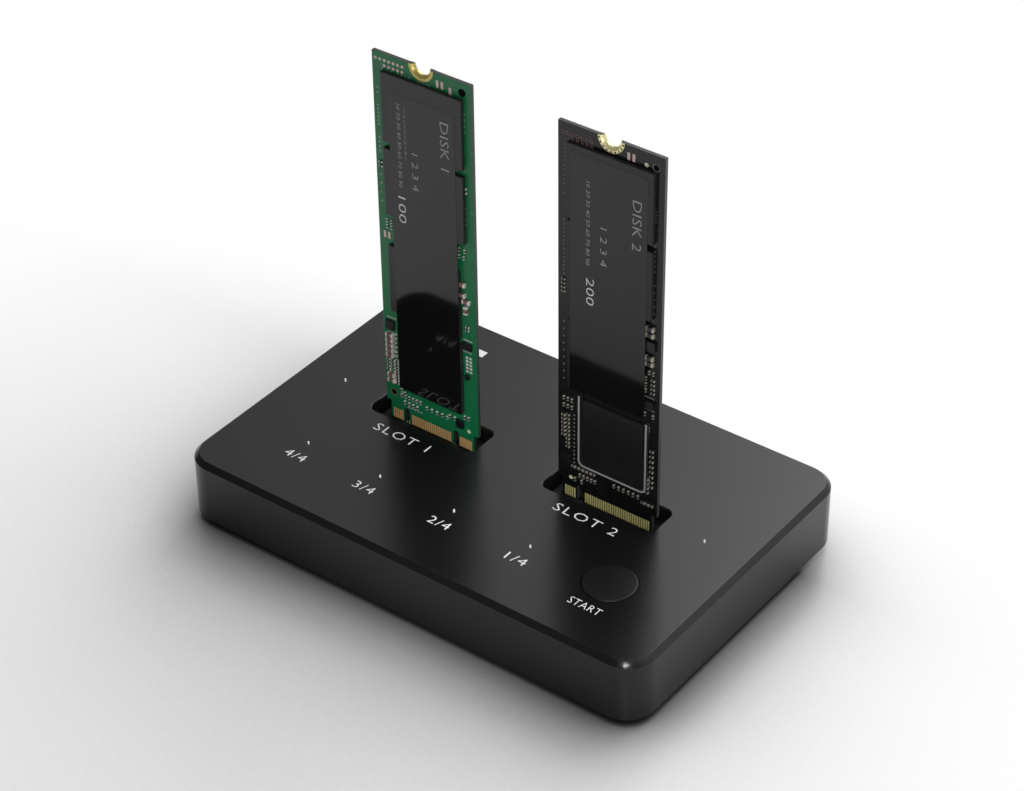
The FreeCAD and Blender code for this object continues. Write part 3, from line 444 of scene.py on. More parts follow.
def moulded_plastic(name, colour, roughness, grain, depth, edge_height=None, specular=0.5):
    """Black moulded plastic: fine grain, soft cloudy gloss, and lighter, glossier specks along the
    rim.
    """
    finish = Finish(name, Specular_IOR_Level=specular)
    fine = finish.noise(1.0 / grain, 2.0, 0.6)
    cloud = finish.noise(60.0, 3.0, 0.55)
    shade = finish.mix(fine, lighter(colour, 0.8), lighter(colour, 1.25))
    gloss = roughness + (cloud - 0.5) * 0.06 + (fine - 0.5) * 0.05
    if edge_height is not None:
        rim_reach = 0.12 * MM
        rim = (1.0 - abs(finish.place()[2] - edge_height) / rim_reach).clamped()
        # Specks lighter in colour and glossier along the rim at edge_height.
        rim_specks = (finish.noise(400.0, 3.0) - 0.35).clamped() * rim
        shade = finish.mix(rim_specks, shade, lighter(colour, 3.0))
        gloss = gloss - rim_specks * 0.1
    return finish.surface(shade, gloss, fine, depth)


def solder_mask(name, mask, trace, roughness, shine):
    """A lacquered circuit board: copper runs under the lacquer, via dots, a little unevenness."""
    finish = Finish(name, Specular_IOR_Level=shine)
    x, _, z = finish.place()
    pitch, half_run = 0.62 * MM, 0.14
    sway = finish.noise(90.0, 1.0) * (2.2 * MM)
    across = abs(((x + sway) / pitch).fraction() - 0.5)
    along = abs(((z + sway) / pitch).fraction() - 0.5)
    zone = finish.noise(140.0, 1.0)
    runs = (across < half_run) * (zone > 0.52) + (along < half_run) * (zone < 0.44)
    vias = finish.node(
        "ShaderNodeTexVoronoi", {"feature": "F1"},
        {"Vector": finish.coordinates(), "Scale": 620.0, "Randomness": 0.8},
    )["Distance"]
    holes = (vias < 0.16) * (finish.noise(300.0, 1.0) > 0.55)
    fine = finish.noise(1500.0, 2.0)
    shade = finish.mix(fine, lighter(mask, 0.85), lighter(mask, 1.15))
    shade = finish.mix(runs.clamped() * 0.7, shade, rgba(trace))
    shade = finish.mix(holes * 0.55, shade, lighter(trace, 1.9))
    return finish.surface(shade, roughness + fine * 0.08, runs * 0.5 + fine * 0.15, 0.02 * MM)


def plated_metal(name, colour, roughness, metallic=1.0, scratch=900.0):
    """Plated or drawn metal: fine scratches, patches of duller film."""
    finish = Finish(name, Metallic=metallic)
    drawn = finish.node(
        "ShaderNodeMapping", None, {"Vector": finish.coordinates(), "Scale": (1.0, 1.0, 0.12)}
    )[0]
    lines = finish.noise(scratch * 3.0, 2.0, 0.6, drawn)
    patch = finish.noise(scratch * 0.4, 2.0)
    shade = finish.mix(patch, lighter(colour, 0.82), lighter(colour, 1.08))
    gloss = roughness + (lines - 0.5) * 0.14 + (patch - 0.5) * 0.1
    return finish.surface(shade, gloss, lines, 0.002 * MM)


def moulded_resin(name, colour, roughness, grain=0.12 * MM, specular=0.5):
    """Chip packages: fine speckle of filler in black resin."""
    finish = Finish(name, Specular_IOR_Level=specular)
    speckle = finish.noise(1.0 / grain, 1.0, 0.7)
    broad = finish.noise(160.0, 2.0)
    shade = finish.mix(speckle, lighter(colour, 0.7), lighter(colour, 1.5))
    return finish.surface(shade, roughness + (broad - 0.5) * 0.1, speckle, 0.008 * MM)


def glossy_film(name, colour, roughness):
    """The cards' stickers: a glossy film with slow waves and dust-fine dullness."""
    finish = Finish(name)
    wave = finish.noise(35.0, 1.0)
    dust = finish.noise(2600.0, 2.0, 0.7)
    smear = finish.noise(120.0, 3.0, 0.6)
    shade = finish.mix(smear, lighter(colour, 0.85), lighter(colour, 1.15))
    gloss = roughness + (dust - 0.4).clamped() * 0.12 + smear * 0.03
    return finish.surface(shade, gloss, wave + dust * 0.004, 0.03 * MM)


def printed_ink(name, colour, roughness=0.5, wear=0.25):
    """Screen-printed ink with thin spots."""
    finish = Finish(name)
    thin = (finish.noise(2200.0, 3.0, 0.7) - 0.3).clamped() * wear
    shade = finish.mix(thin, rgba(colour), lighter(colour, 0.55))
    return finish.surface(shade, roughness + thin * 0.3, thin, 0.004 * MM)


def milky_guide(name, colour, painted_glow):
    """Milky clear plastic, clouded a little, with a painted glow from emission, as no lamp lights
    it from within.
    """
    finish = Finish(name, Emission_Strength=painted_glow)
    milk = finish.noise(1800.0, 2.0)
    shade = finish.mix(milk, lighter(colour, 0.9), rgba(colour))
    finish.feed(finish.shader.inputs["Emission Color"], shade)
    return finish.surface(shade, 0.22 + milk * 0.1, milk, 0.004 * MM)


def rubber(name, colour):
    """Soft foot rubber with a dusty, pitted skin."""
    finish = Finish(name)
    pits = finish.noise(2400.0, 2.0, 0.6)
    dust = finish.noise(300.0, 3.0)
    shade = finish.mix(dust, lighter(colour, 0.8), lighter(colour, 1.7))
    return finish.surface(shade, 0.75 + pits * 0.15, pits, 0.02 * MM)


# Properties

def length(name, description, default, high):
    return bpy.props.FloatProperty(
        name=name, description=description, default=default, min=0.0, max=high,
        unit="LENGTH", subtype="DISTANCE", precision=5,
    )


def colour(name, description, default):
    return bpy.props.FloatVectorProperty(
        name=name, description=description, default=default, size=3, min=0.0, max=1.0,
        subtype="COLOR",
    )


def share(name, description, default):
    return bpy.props.FloatProperty(
        name=name, description=description, default=default, min=0.0, max=1.0, subtype="FACTOR",
    )


class HousingFinish(bpy.types.PropertyGroup):
    plastic: colour("Plastic", "Colour of the moulded housing", (0.005, 0.005, 0.0052))
    gloss: share("Roughness", "Roughness of the housing's satin skin", 0.22)
    grain: length("Grain", "Size of the moulded grain", 0.22 * MM, 5 * MM)
    edge: length("Edge", "Rounding of the housing's edges", 0.14 * MM, 1 * MM)
    button_edge: length("Button edge", "Rounding of the button's edges", 0.1 * MM, 1 * MM)


class PrintLayout(bpy.types.PropertyGroup):
    ink: colour("Ink", "Colour of the print on the housing", (0.85, 0.85, 0.85))
    depth: length("Ink depth", "Thickness of the printed ink", 0.02 * MM, 1 * MM)
    step_height: length("Step captions", "Capital height at the progress lights", 2.0 * MM, 10 * MM)
    slot_height: length("Slot captions", "Capital height at the two slots", 2.15 * MM, 10 * MM)
    button_height: length("Button caption", "Capital height at the button", 1.8 * MM, 10 * MM)


class CardFinish(bpy.types.PropertyGroup):
    green_mask: colour("Green mask", "Lacquer of the left card", (0.006, 0.14, 0.05))
    green_trace: colour("Green trace", "Copper runs under the green", (0.012, 0.17, 0.07))
    black_mask: colour("Black mask", "Lacquer of the right card", (0.0045, 0.0045, 0.005))
    black_trace: colour("Black trace", "Copper runs under the black", (0.009, 0.009, 0.01))
    label: colour("Label", "Film of the cards' labels", (0.0055, 0.005, 0.005))
    label_gloss: share("Label roughness", "Roughness of the label film", 0.04)
    gold: colour("Gold", "Gold plating of pads, rings and contacts", (0.75, 0.56, 0.29))
    edge: length("Edge", "Rounding of boards, chips and labels", 0.06 * MM, 0.5 * MM)


class StudioSetup(bpy.types.PropertyGroup):
    floor: colour("Floor", "Colour of the pale floor", (0.9, 0.9, 0.9))
    floor_size: length("Floor size", "Side of the floor", 6.0, 20.0)
    lens: bpy.props.FloatProperty(
        name="Lens", description="Focal length in millimetres", default=100.63, min=10.0,
    )


# Operators

def table_of_finishes():
    """All the materials, made once."""
    housing = bpy.context.scene.housing_finish
    cards = bpy.context.scene.card_finish
    ink = bpy.context.scene.print_layout.ink
    button = lighter(housing.plastic, 0.75)[:3]
    rim = TOP - 1.0 * MM
    return {
        "housing": moulded_plastic(
            "housing_plastic", housing.plastic, housing.gloss, housing.grain, 0.012 * MM, rim, 0.4
        ),
        "button": moulded_plastic(
            "button_plastic", button, 0.4, 0.2 * MM, 0.012 * MM, None, 0.25
        ),
        "cover": moulded_plastic("cover_plastic", housing.plastic, 0.5, 0.3 * MM, 0.03 * MM),
        "connector": moulded_plastic(
            "connector_plastic", (0.003, 0.003, 0.003), 0.6, 0.15 * MM, 0.008 * MM, None, 0.12
        ),
        "green": solder_mask("green_board", cards.green_mask, cards.green_trace, 0.3, 0.4),
        "black": solder_mask("black_board", cards.black_mask, cards.black_trace, 0.22, 0.45),
        "gold": plated_metal("gold_plate", cards.gold, 0.3, 0.35),
        "gold_a": plated_metal("left_finger_plate", (0.9, 0.49, 0.22), 0.3, 0.2),
        "gold_b": plated_metal("right_finger_plate", (0.56, 0.53, 0.22), 0.3, 0.2),
        "ring_a": plated_metal("left_ring_plate", (0.56, 0.46, 0.14), 0.34, 0.6, 5000.0),
        "ring_b": plated_metal("right_ring_plate", (0.92, 0.84, 0.46), 0.34, 0.6, 5000.0),
        "mark": plated_metal("mark_plate", (0.7, 0.72, 0.5), 0.35, 0.3),
        "frame": plated_metal("frame_plate", (0.4, 0.4, 0.4), 0.35, 0.3, 700.0),
        "copper": printed_ink("copper_rim", (0.16, 0.085, 0.045), 0.4),
        "metal": plated_metal("bright_plate", (0.62, 0.62, 0.63), 0.28),
        "solder": plated_metal("solder_ends", (0.78, 0.77, 0.75), 0.38, 0.35, 1500.0),
        "dull_solder": plated_metal("dull_solder_ends", (0.46, 0.43, 0.36), 0.4, 0.35, 1500.0),
        "pad": printed_ink("tinned_pad", (0.68, 0.5, 0.47), 0.4, 0.6),
        "dark_pad": printed_ink("dark_pad", (0.15, 0.105, 0.1), 0.4, 0.5),
        "chip": moulded_resin("chip_resin", (0.006, 0.006, 0.0065), 0.34),
        # Chip sides in lighter resin than the fronts: painted light that takes the shade out of
        # their sides.
        "chip_side": moulded_resin("painted_light_chip_flank_resin", (0.014, 0.015, 0.0145), 0.5),
        "green_edge": moulded_resin("green_board_edge", (0.015, 0.026, 0.017), 0.45),
        "black_edge": moulded_resin("black_board_edge", (0.035, 0.035, 0.034), 0.4),
        "part_body": moulded_resin("part_ceramic", (0.16, 0.085, 0.07), 0.4),
        "part_dark": moulded_resin("part_resin", (0.02, 0.02, 0.021), 0.4),
        # Near-black, barely reflecting resin for the middles of holes and vias: painted shade for
        # the depth of a hole.
        "hole": moulded_resin("painted_hole_shade", (0.002, 0.002, 0.002), 0.7, specular=0.05),
        "label": glossy_film("label_film", cards.label, cards.label_gloss),
        "ink": printed_ink("housing_ink", ink),
        "label_ink": printed_ink("label_ink", (0.3, 0.3, 0.3), 0.45),
        "bold_ink": printed_ink("label_bold_ink", (0.6, 0.6, 0.6), 0.45),
        "tick_ink": printed_ink("board_ink", (0.4, 0.43, 0.42)),
        "dim_ink": printed_ink("dim_board_ink", (0.13, 0.135, 0.135)),
        # The light guides glow with painted light; the lamp lenses get none.
        "guide": milky_guide("light_guide", (0.8, 0.81, 0.82), 0.2),
        "lamp": milky_guide("lamp_lens", (0.85, 0.85, 0.8), 0.0),
        "rubber": rubber("foot_rubber_skin", (0.012, 0.012, 0.012)),
    }


FINISHES = {}


def finish_of(name):
    """A material by name, made with all the others when the first one is asked for."""
    if not FINISHES:
        FINISHES.update(table_of_finishes())
    return FINISHES[name]


class DUPLICATOR_OT_stage(bpy.types.Operator):
    """Floor, world, lamps and the camera at the photograph's angle"""

    bl_idname = "duplicator.stage"
    bl_label = "Stage"

    def execute(self, context):
        studio = context.scene.studio_setup
        self.camera(studio)
        self.floor(studio)
        self.world()
        self.lamps()
        return {"FINISHED"}

    def camera(self, studio):
        """The camera, from its place and the way it looks, with a slight roll."""
        data = bpy.data.cameras.new("photo_camera")
        data.sensor_fit = "HORIZONTAL"
        data.sensor_width = 36.0
        data.lens = studio.lens
        data.clip_start = 0.01
        data.clip_end = 50.0
        camera = bpy.data.objects.new("photo_camera", data)
        bpy.context.collection.objects.link(camera)
        forward = CAMERA_WAY.normalized()
        right = forward.cross(Vector((0.0, 0.0, 1.0))).normalized()
        up = right.cross(forward)
        turned_right = math.cos(CAMERA_ROLL) * right + math.sin(CAMERA_ROLL) * up
        turned_up = math.cos(CAMERA_ROLL) * up - math.sin(CAMERA_ROLL) * right
        turn = Matrix((turned_right, turned_up, -forward)).transposed().to_4x4()
        camera.matrix_world = Matrix.Translation(CAMERA_PLACE) @ turn
        bpy.context.scene.camera = camera

    def floor(self, studio):
        """A pale floor with a painted contact shadow, darker close to the object and most before
        its front, and white to the camera behind and beside it.
        """
        bpy.ops.object.select_all(action="DESELECT")
        bpy.ops.mesh.primitive_plane_add(size=studio.floor_size, location=(0.0, 0.0, 0.0))
        floor = settle(bpy.context.active_object, "studio_floor")
        edit_all(floor)
        bpy.ops.mesh.subdivide(number_cuts=3)
        leave_edit()
        finish = Finish("pale_floor", IOR=1.6)
        x, y, _ = finish.place()
        mottle = finish.noise(14.0, 2.0)
        tone_and_painted_shadow = finish.mix(mottle, lighter(studio.floor, 0.99), lighter(studio.floor, 1.01))
        # Painted shadow: ambient occlusion darkens the floor's colour near the object, more steeply
        # before its front.
        open_sky = finish.node(
            "ShaderNodeAmbientOcclusion", {"samples": 12}, {"Distance": 0.15}
        )["AO"]
        painted_shadow_steepness = y.step(-0.03, -0.08) * 1.2 + 2.3
        tone_and_painted_shadow = finish.mix(1.0 - open_sky ** painted_shadow_steepness, tone_and_painted_shadow, rgba((0.0, 0.0, 0.0)))
        finish.surface(tone_and_painted_shadow, mottle * 0.04 + 0.3)
        beside = (abs(x) - SHELL_HIGH.x).at_least(0.0)
        before = (abs(y) - SHELL_HIGH.y).at_least(0.0)
        away = (beside * beside + before * before) ** 0.5
        behind = y.step(0.02, 0.05) * (1.0 - beside.step(0.0, 0.12))
        far = (away.step(0.0, 0.09) + behind).clamped() * y.step(-0.17, 0.03)
        path = finish.node("ShaderNodeLightPath")
        seen = path["Is Camera Ray"] + path["Is Glossy Ray"] + path["Is Transmission Ray"]
        white = finish.node(
            "ShaderNodeEmission", None, {"Color": rgba((1.0, 1.0, 1.0)), "Strength": 1.0}
        )[0]
        lit = Wire(finish, finish.shader.outputs[0])
        factor = seen.clamped() * far
        both = finish.node("ShaderNodeMixShader", None, {0: factor, 1: lit, 2: white})[0]
        finish.feed(finish.tree.nodes["Material Output"].inputs["Surface"], both)
        floor.data.materials.append(finish.material)

    def world(self):
        """Pale surroundings, white to the camera, brighter behind the object than before it."""
        world = bpy.data.worlds.new("studio_world")
        bpy.context.scene.world = world
        world.use_nodes = True
        wiring = Wiring(world.node_tree)
        sky = wiring.node("ShaderNodeTexCoord")["Generated"]
        way = wiring.node("ShaderNodeSeparateXYZ", None, {0: sky})
        back = (way[0] * 0.25 + way[1] * 0.55 + way[2] * 0.8).step(0.0, 1.0)
        level = 0.12 + back * back * 1.25
        seen = wiring.node("ShaderNodeLightPath")["Is Camera Ray"]
        background = world.node_tree.nodes["Background"]
        wiring.feed(background.inputs["Strength"], level * (1.0 - seen) + seen)
        wiring.feed(background.inputs["Color"], rgba((1.0, 1.0, 1.0)))

    def lamps(self):
        """Two wide soft lamps high behind, one before the front, and a narrow beam on the cards."""
        for name, place, size, power in (
            ("overhead_lamp", (0.0, 0.9, 0.8), 0.8, 5.0),
            ("back_lamp", (-0.2, 1.2, 1.0), 1.1, 3.4),
            ("front_lamp", (0.8, -1.0, 0.2), 0.4, 3.0),
        ):
            panel = self.lamp(name, "AREA", place, power)
            panel.shape = "SQUARE"
            panel.size = size
        beam = self.lamp("card_spot", "SPOT", (0.34, -0.54, 0.62), 22.0)
        beam.spot_size = math.radians(5.0)
        beam.spot_blend = 0.3
        beam.shadow_soft_size = 0.03

    def lamp(self, name, kind, place, power):
        """A lamp at its place, turned to the object. Gives back its data."""
        data = bpy.data.lights.new(name, kind)
        data.energy = power
        lamp = bpy.data.objects.new(name, data)
        bpy.context.collection.objects.link(lamp)
        place = Vector(place)
        turn = (-place).to_track_quat("-Z", "Y").to_matrix().to_4x4()
        lamp.matrix_world = Matrix.Translation(place) @ turn
        return data


class DUPLICATOR_OT_housing(bpy.types.Operator):
    """Top shell, bottom cover, feet, button cap and light guide tips"""

    bl_idname = "duplicator.housing"
    bl_label = "Housing"

    def execute(self, context):
        housing = context.scene.housing_finish
        edge, fine_edge, tip_edge = housing.edge, housing.edge * 0.6, 0.08 * MM
        for node, name, rounding, finish, slot in (
            ("top_shell", "housing_shell", edge, "housing", "housing_black"),
            ("bottom_cover", "housing_bottom", fine_edge, "cover", "cover_black"),
            ("rubber_feet", "housing_feet", fine_edge, "rubber", "foot_rubber"),
            ("copy_button_cap", "start_button", housing.button_edge, "button", "housing_black"),
            ("progress_light_guide", "progress_guide", tip_edge, "guide", "light_guide_clear"),
            ("slot_light_guides", "slot_guides", tip_edge, "guide", "light_guide_clear"),
        ):
            piece = merged_copy(node, name)
            if finish == "guide":
                self.slim_tips(piece)
            dressed(piece, rounding, finish)
        return {"FINISHED"}

    def slim_tips(self, piece):
        """Tapers the light guides upwards, so that each hole shows dark round its tip."""
        tips = [
            face.center.copy() for face in piece.data.polygons
            if face.center.z > TOP and face.normal.z > FACING
        ]
        taper = (TIP_TAPER, TIP_TAPER, 1.0)
        for tip in tips:
            pick(piece, "FACE", lambda face: (
                face.normal.z > FACING and (face.center - tip).length < 0.1 * MM
            ))
            bpy.ops.transform.resize(value=taper, center_override=tip)
            leave_edit()


class DUPLICATOR_OT_print(bpy.types.Operator):
    """Captions printed on the housing's top"""

    bl_idname = "duplicator.print"
    bl_label = "Top print"

    def execute(self, context):
        layout = context.scene.print_layout
        steps, slots, button = layout.step_height, layout.slot_height, layout.button_height
        flat = Matrix.Identity(4)
        pieces = []
        # The ends and the base line of each word are in millimetres
        for text, size, left, right, baseline, spacing, thin in (
            ("4/4", steps, -36.4, -31.8, -22.1, 1.12, 0.012),
            ("3/4", steps, -19.9, -15.4, -22.1, 1.12, 0.012),
            ("2/4", steps, -2.4, 2.2, -22.1, 1.12, 0.015),
            ("1/4", steps, 15.1, 19.4, -22.1, 1.12, 0.012),
            ("SLOT 1", slots, -27.8, -15.2, -6.2, 1.15, 0.012),
            ("SLOT 2", slots, 13.8, 27.6, -5.8, 1.15, 0.012),
            ("START", button, 31.2, 37.9, -25.2, 1.04, 0.019),
        ):
            place = Vector((left * MM, baseline * MM, TOP))
            span = (right - left) * MM
            words = lettering(text, size, span, place, flat, layout.depth, spacing, thin)
            pieces.append(words)
        placed(joined("top_captions", pieces), "housing", "ink")
        low = (-29.9 * MM, 24.15 * MM, TOP - layout.depth)
        high = (-24.9 * MM, 26.05 * MM, TOP + layout.depth)
        bar = block("switch_mark", low, high, layout.depth / 2)
        placed(bar, "housing", "ink")
        return {"FINISHED"}


# Places on the cards are in millimetres from the left edge and from the top edge of the board

def on_board(card, x, down):
    """A point on the front face of a card's board."""
    low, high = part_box(f"{card}_board")
    return Vector((low.x + x * MM, low.y, high.z - down * MM))


def row_points(card, x0, down0, x1, down1, count):
    """Points on a board's front from the first place of a row to its last."""
    for index in range(count):
        along = index / (count - 1) if count > 1 else 0.0
        yield on_board(card, x0 + (x1 - x0) * along, down0 + (down1 - down0) * along)


def upright(turned):
    """Turns a part that was modelled lying flat so that it stands on a card's front face."""
    turn = Matrix.Rotation(math.radians(90.0), 4, "X")
    return turn @ Matrix.Rotation(math.radians(90.0), 4, "Z") if turned else turn


def row_places(card, rows, rear):
    """Places of the parts in rows on a card's front, or on its rear."""
    low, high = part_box(f"{card}_board")
    places = []
    for x0, down0, x1, down1, count, *turned in rows:
        for point in row_points(card, x0, down0, x1, down1, count):
            turn = upright(bool(turned))
            if rear:
                point.y += high.y - low.y
                turn = Matrix.Rotation(math.radians(-90.0), 4, "X")
            places.append(Matrix.Translation(point) @ turn)
    return places


# Patterns lie flat, and their sizes are in millimetres

def slab(size, edge_share):
    """A bevelled block on the table, the bevel a share of its height."""
    long, wide, high = (side * MM for side in size)
    low, top = (-long / 2, -wide / 2, 0.0), (long / 2, wide / 2, high)
    return block("pattern", low, top, high * edge_share)


def end_capped_part(size, ends, body):
    """A chip part: a bevelled block whose two ends are solder."""
    piece = slab(size, PART_BEVEL)
    cut = size[0] * MM * SOLDER_START
    edit_all(piece)
    for side in (-1, 1):
        bpy.ops.mesh.select_all(action="SELECT")
        bpy.ops.mesh.bisect(plane_co=(side * cut, 0.0, 0.0), plane_no=(1.0, 0.0, 0.0))
    leave_edit()
    piece.data.materials.append(finish_of(ends))
    piece.data.materials.append(finish_of(body))
    for face in piece.data.polygons:
        face.material_index = int(abs(face.center.x) < cut)
    return piece


def flat_pad(size, finish):
    """A bare solder pad with its edges cut."""
    piece = slab(size, PAD_BEVEL)
    piece.data.materials.append(finish_of(finish))
    return piece


def ring_pad(radius, hole, high, rim, lining):
    """A plated hole: a round pad with its middle sunk and given the lining finish; the near-black
    hole finish there is painted shade for the hole's depth.
    """
    radius, hole, high = radius * MM, hole * MM, high * MM
    bpy.ops.object.select_all(action="DESELECT")
    bpy.ops.mesh.primitive_cylinder_add(
        vertices=PAD_SIDES, radius=radius, depth=high, location=(0.0, 0.0, high / 2)
    )
    piece = settle(bpy.context.active_object, "pattern")
    pick(piece, "FACE", lambda face: face.normal.z > FACING)
    bpy.ops.mesh.inset(thickness=radius - hole, depth=0.0)
    bpy.ops.transform.translate(value=(0.0, 0.0, -high * PAD_SUNK))
    leave_edit()
    piece.data.materials.append(finish_of(rim))
    piece.data.materials.append(finish_of(lining))
    for face in piece.data.polygons:
        inside = face.normal.z > FACING and face.center.xy.length < hole * 0.5
        face.material_index = int(inside)
    return piece


# Rows of parts by piece: first place, last place, how many, and True where they stand upright
ROWS = {
    "drive_a_large_parts": (
        (19.15, 42.1, 19.15, 44.4, 2), (20.1, 45.6, 20.1, 45.6, 1),
        (20.0, 47.5, 20.0, 47.5, 1, True), (1.6, 60.5, 1.6, 65.1, 5), (1.7, 69.7, 1.7, 70.9, 2),
    ),
    "drive_a_small_parts": (
        (20.3, 21.3, 20.3, 22.2, 2), (1.2, 22.6, 1.2, 23.5, 2),
        (18.6, 34.7, 19.9, 34.7, 2, True), (18.6, 36.2, 19.7, 36.2, 2, True),
        (2.1, 34.8, 3.1, 34.8, 2, True), (2.1, 36.0, 3.1, 36.0, 2, True),
        (18.4, 49.0, 18.4, 50.6, 2), (20.1, 51.3, 20.1, 52.0, 2), (1.0, 66.3, 1.0, 68.7, 4),
        (2.05, 66.4, 2.05, 68.8, 4), (3.0, 66.0, 3.0, 71.3, 9),
        (2.95, 60.3, 2.95, 65.3, 6, True), (3.9, 72.4, 4.6, 73.0, 2, True),
        (3.9, 73.6, 8.4, 73.6, 6, True), (9.9, 74.2, 14.8, 74.2, 5, True),
        (4.6, 75.1, 7.6, 75.1, 4, True), (15.4, 73.6, 16.6, 73.6, 2, True),
        (19.0, 72.3, 19.9, 72.3, 2, True),
    ),
    "drive_a_dots": (
        (1.0, 7.2, 1.0, 8.3, 2), (1.0, 10.9, 1.0, 14.9, 6), (1.0, 17.6, 1.0, 20.4, 4),
        (1.0, 25.4, 1.0, 31.0, 4), (20.3, 6.2, 20.3, 9.8, 4), (20.2, 25.6, 20.2, 29.0, 4),
        (18.4, 18.3, 18.4, 20.2, 2), (18.5, 51.4, 18.5, 54.2, 5), (19.2, 54.4, 20.9, 54.4, 5),
        (19.0, 57.0, 20.6, 57.0, 4), (1.1, 56.6, 2.9, 56.6, 5), (1.1, 60.0, 2.9, 60.0, 5),
        (3.5, 57.6, 3.5, 60.6, 5), (18.5, 64.4, 18.5, 68.4, 5), (5.4, 76.0, 8.4, 76.0, 5),
    ),
    "drive_a_ring_pads": ((0.85, 1.3, 6.85, 1.3, 7), (2.8, 2.4, 6.8, 2.4, 5)),
    "drive_a_square_pads": ((19.75, 58.3, 19.75, 61.4, 5), (20.6, 58.3, 20.6, 61.4, 5)),
    "drive_a_upright_pads": (
        (14.6, 2.05, 15.65, 2.05, 2, True), (17.4, 2.6, 17.4, 2.6, 1, True),
        (1.3, 38.1, 2.3, 38.1, 2, True),
    ),
    "drive_a_corner_hole": ((20.0, 2.0, 20.0, 2.0, 1),),
    "drive_a_side_hole": ((1.9, 73.8, 1.9, 73.8, 1),),
    "drive_a_aiming_marks": ((19.8, 75.4, 19.8, 75.4, 1),),
    "drive_a_rear_test_pads": (
        (4.0, 12.0, 4.0, 24.0, 5), (18.0, 30.0, 18.0, 39.0, 4), (6.0, 66.0, 16.0, 66.0, 5),
    ),
    "drive_a_rear_vias": (
        (2.0, 6.0, 8.0, 6.0, 9), (9.0, 30.0, 9.0, 44.0, 15), (12.0, 52.0, 19.0, 52.0, 10),
        (4.0, 70.0, 17.0, 70.0, 18), (13.0, 10.0, 16.5, 17.0, 8),
    ),
    "drive_a_rear_hole": ((20.1, 2.2, 20.1, 2.2, 1),),
    "drive_a_board_ticks": (
        (2.3, 2.97, 4.3, 2.97, 3), (5.8, 2.97, 8.3, 2.97, 4), (10.3, 2.97, 12.8, 2.97, 5),
    ),
    "drive_b_large_parts": ((19.9, 34.9, 19.9, 36.2, 2), (19.9, 41.1, 19.9, 42.3, 2)),
    "drive_b_small_parts": (
        (1.3, 31.9, 1.3, 34.4, 4), (3.9, 34.8, 3.9, 35.8, 2), (19.8, 44.3, 20.7, 44.3, 2, True),
        (20.6, 45.8, 20.6, 48.6, 4), (19.1, 45.8, 19.1, 48.4, 3, True),
        (19.0, 53.6, 20.8, 53.6, 2, True), (1.3, 61.6, 1.3, 66.0, 6), (2.3, 61.2, 2.3, 68.4, 9),
        (1.4, 57.6, 3.2, 57.6, 3, True), (1.4, 59.2, 3.2, 59.2, 3, True),
        (5.0, 73.9, 8.4, 73.9, 5, True), (3.9, 75.2, 5.4, 75.2, 2, True),
        (12.6, 72.9, 17.9, 72.9, 6, True), (19.8, 59.4, 19.8, 66.0, 6, True),
        (20.7, 61.4, 20.7, 69.4, 8), (19.8, 68.0, 19.8, 71.0, 4), (19.0, 73.7, 20.8, 73.7, 3),
        (3.5, 72.4, 8.0, 72.4, 6),
    ),
    "drive_b_dots": (
        (1.5, 4.4, 1.5, 7.4, 5), (1.3, 8.6, 1.3, 14.2, 7), (1.3, 19.6, 1.3, 30.8, 14),
        (3.4, 19.8, 4.2, 19.8, 2), (3.0, 37.0, 5.2, 37.0, 5), (3.0, 39.9, 5.2, 39.9, 5),
        (20.3, 10.9, 20.3, 13.0, 4), (20.3, 17.9, 20.3, 23.0, 6), (20.3, 25.9, 20.3, 33.2, 6),
        (1.3, 41.0, 1.3, 53.4, 9), (3.6, 60.8, 3.6, 71.6, 13), (3.6, 54.8, 4.6, 54.8, 3),
        (19.0, 49.8, 20.8, 49.8, 5), (19.0, 52.5, 20.8, 52.5, 5), (1.3, 70.4, 1.3, 71.6, 3),
        (17.6, 4.3, 18.4, 4.3, 2),
    ),
    "drive_b_ring_pads": ((1.05, 2.0, 7.05, 2.0, 7), (3.1, 2.85, 7.1, 2.85, 5)),
    "drive_b_square_pads": ((19.75, 56.4, 19.75, 57.2, 2),),
    "drive_b_upright_pads": ((14.6, 2.05, 15.65, 2.05, 2, True),),
    "drive_b_corner_hole": ((20.2, 2.35, 20.2, 2.35, 1),),
    "drive_b_aiming_marks": ((18.25, 2.45, 18.25, 2.45, 1), (2.9, 75.3, 2.9, 75.3, 1)),
    "drive_b_rear_test_pads": (
        (18.0, 14.0, 18.0, 26.0, 5), (4.0, 40.0, 4.0, 46.0, 3), (5.0, 60.0, 17.0, 60.0, 6),
    ),
    "drive_b_rear_vias": (
        (13.0, 7.0, 19.0, 7.0, 9), (7.0, 14.0, 7.0, 32.0, 18), (10.0, 40.0, 18.0, 40.0, 11),
        (6.0, 50.0, 14.0, 54.0, 9), (3.5, 68.0, 18.5, 68.0, 20),
    ),
    "drive_b_rear_hole": ((20.1, 2.2, 20.1, 2.2, 1),),
}

# Finishes of each card's small parts, and the radius of its ring pads in millimetres
CARD_LOOKS = {
    "drive_a": {
        "ends": "solder", "large": "part_body", "dot": "tick_ink",
        "pad": "pad", "pad_middle": "pad", "ring": 0.31, "corner": "hole",
    },
    "drive_b": {
        "ends": "dull_solder", "large": "part_dark", "dot": "dim_ink",
        "pad": "dark_pad", "pad_middle": "hole", "ring": 0.37, "corner": "dark_pad",
    },
}

# Small packages beside the large chips: middle, width and height
PACKAGES = {
    "drive_a": (
        (1.8, 58.1, 2.0, 2.0), (20.0, 55.6, 2.2, 1.5),
        (17.9, 74.2, 1.7, 1.7), (19.9, 62.6, 1.0, 0.9),
    ),
    "drive_b": (
        (4.1, 38.4, 2.2, 2.2), (20.0, 38.6, 1.9, 2.2),
        (2.1, 71.0, 1.7, 1.9), (19.9, 51.2, 1.9, 1.7),
    ),
}


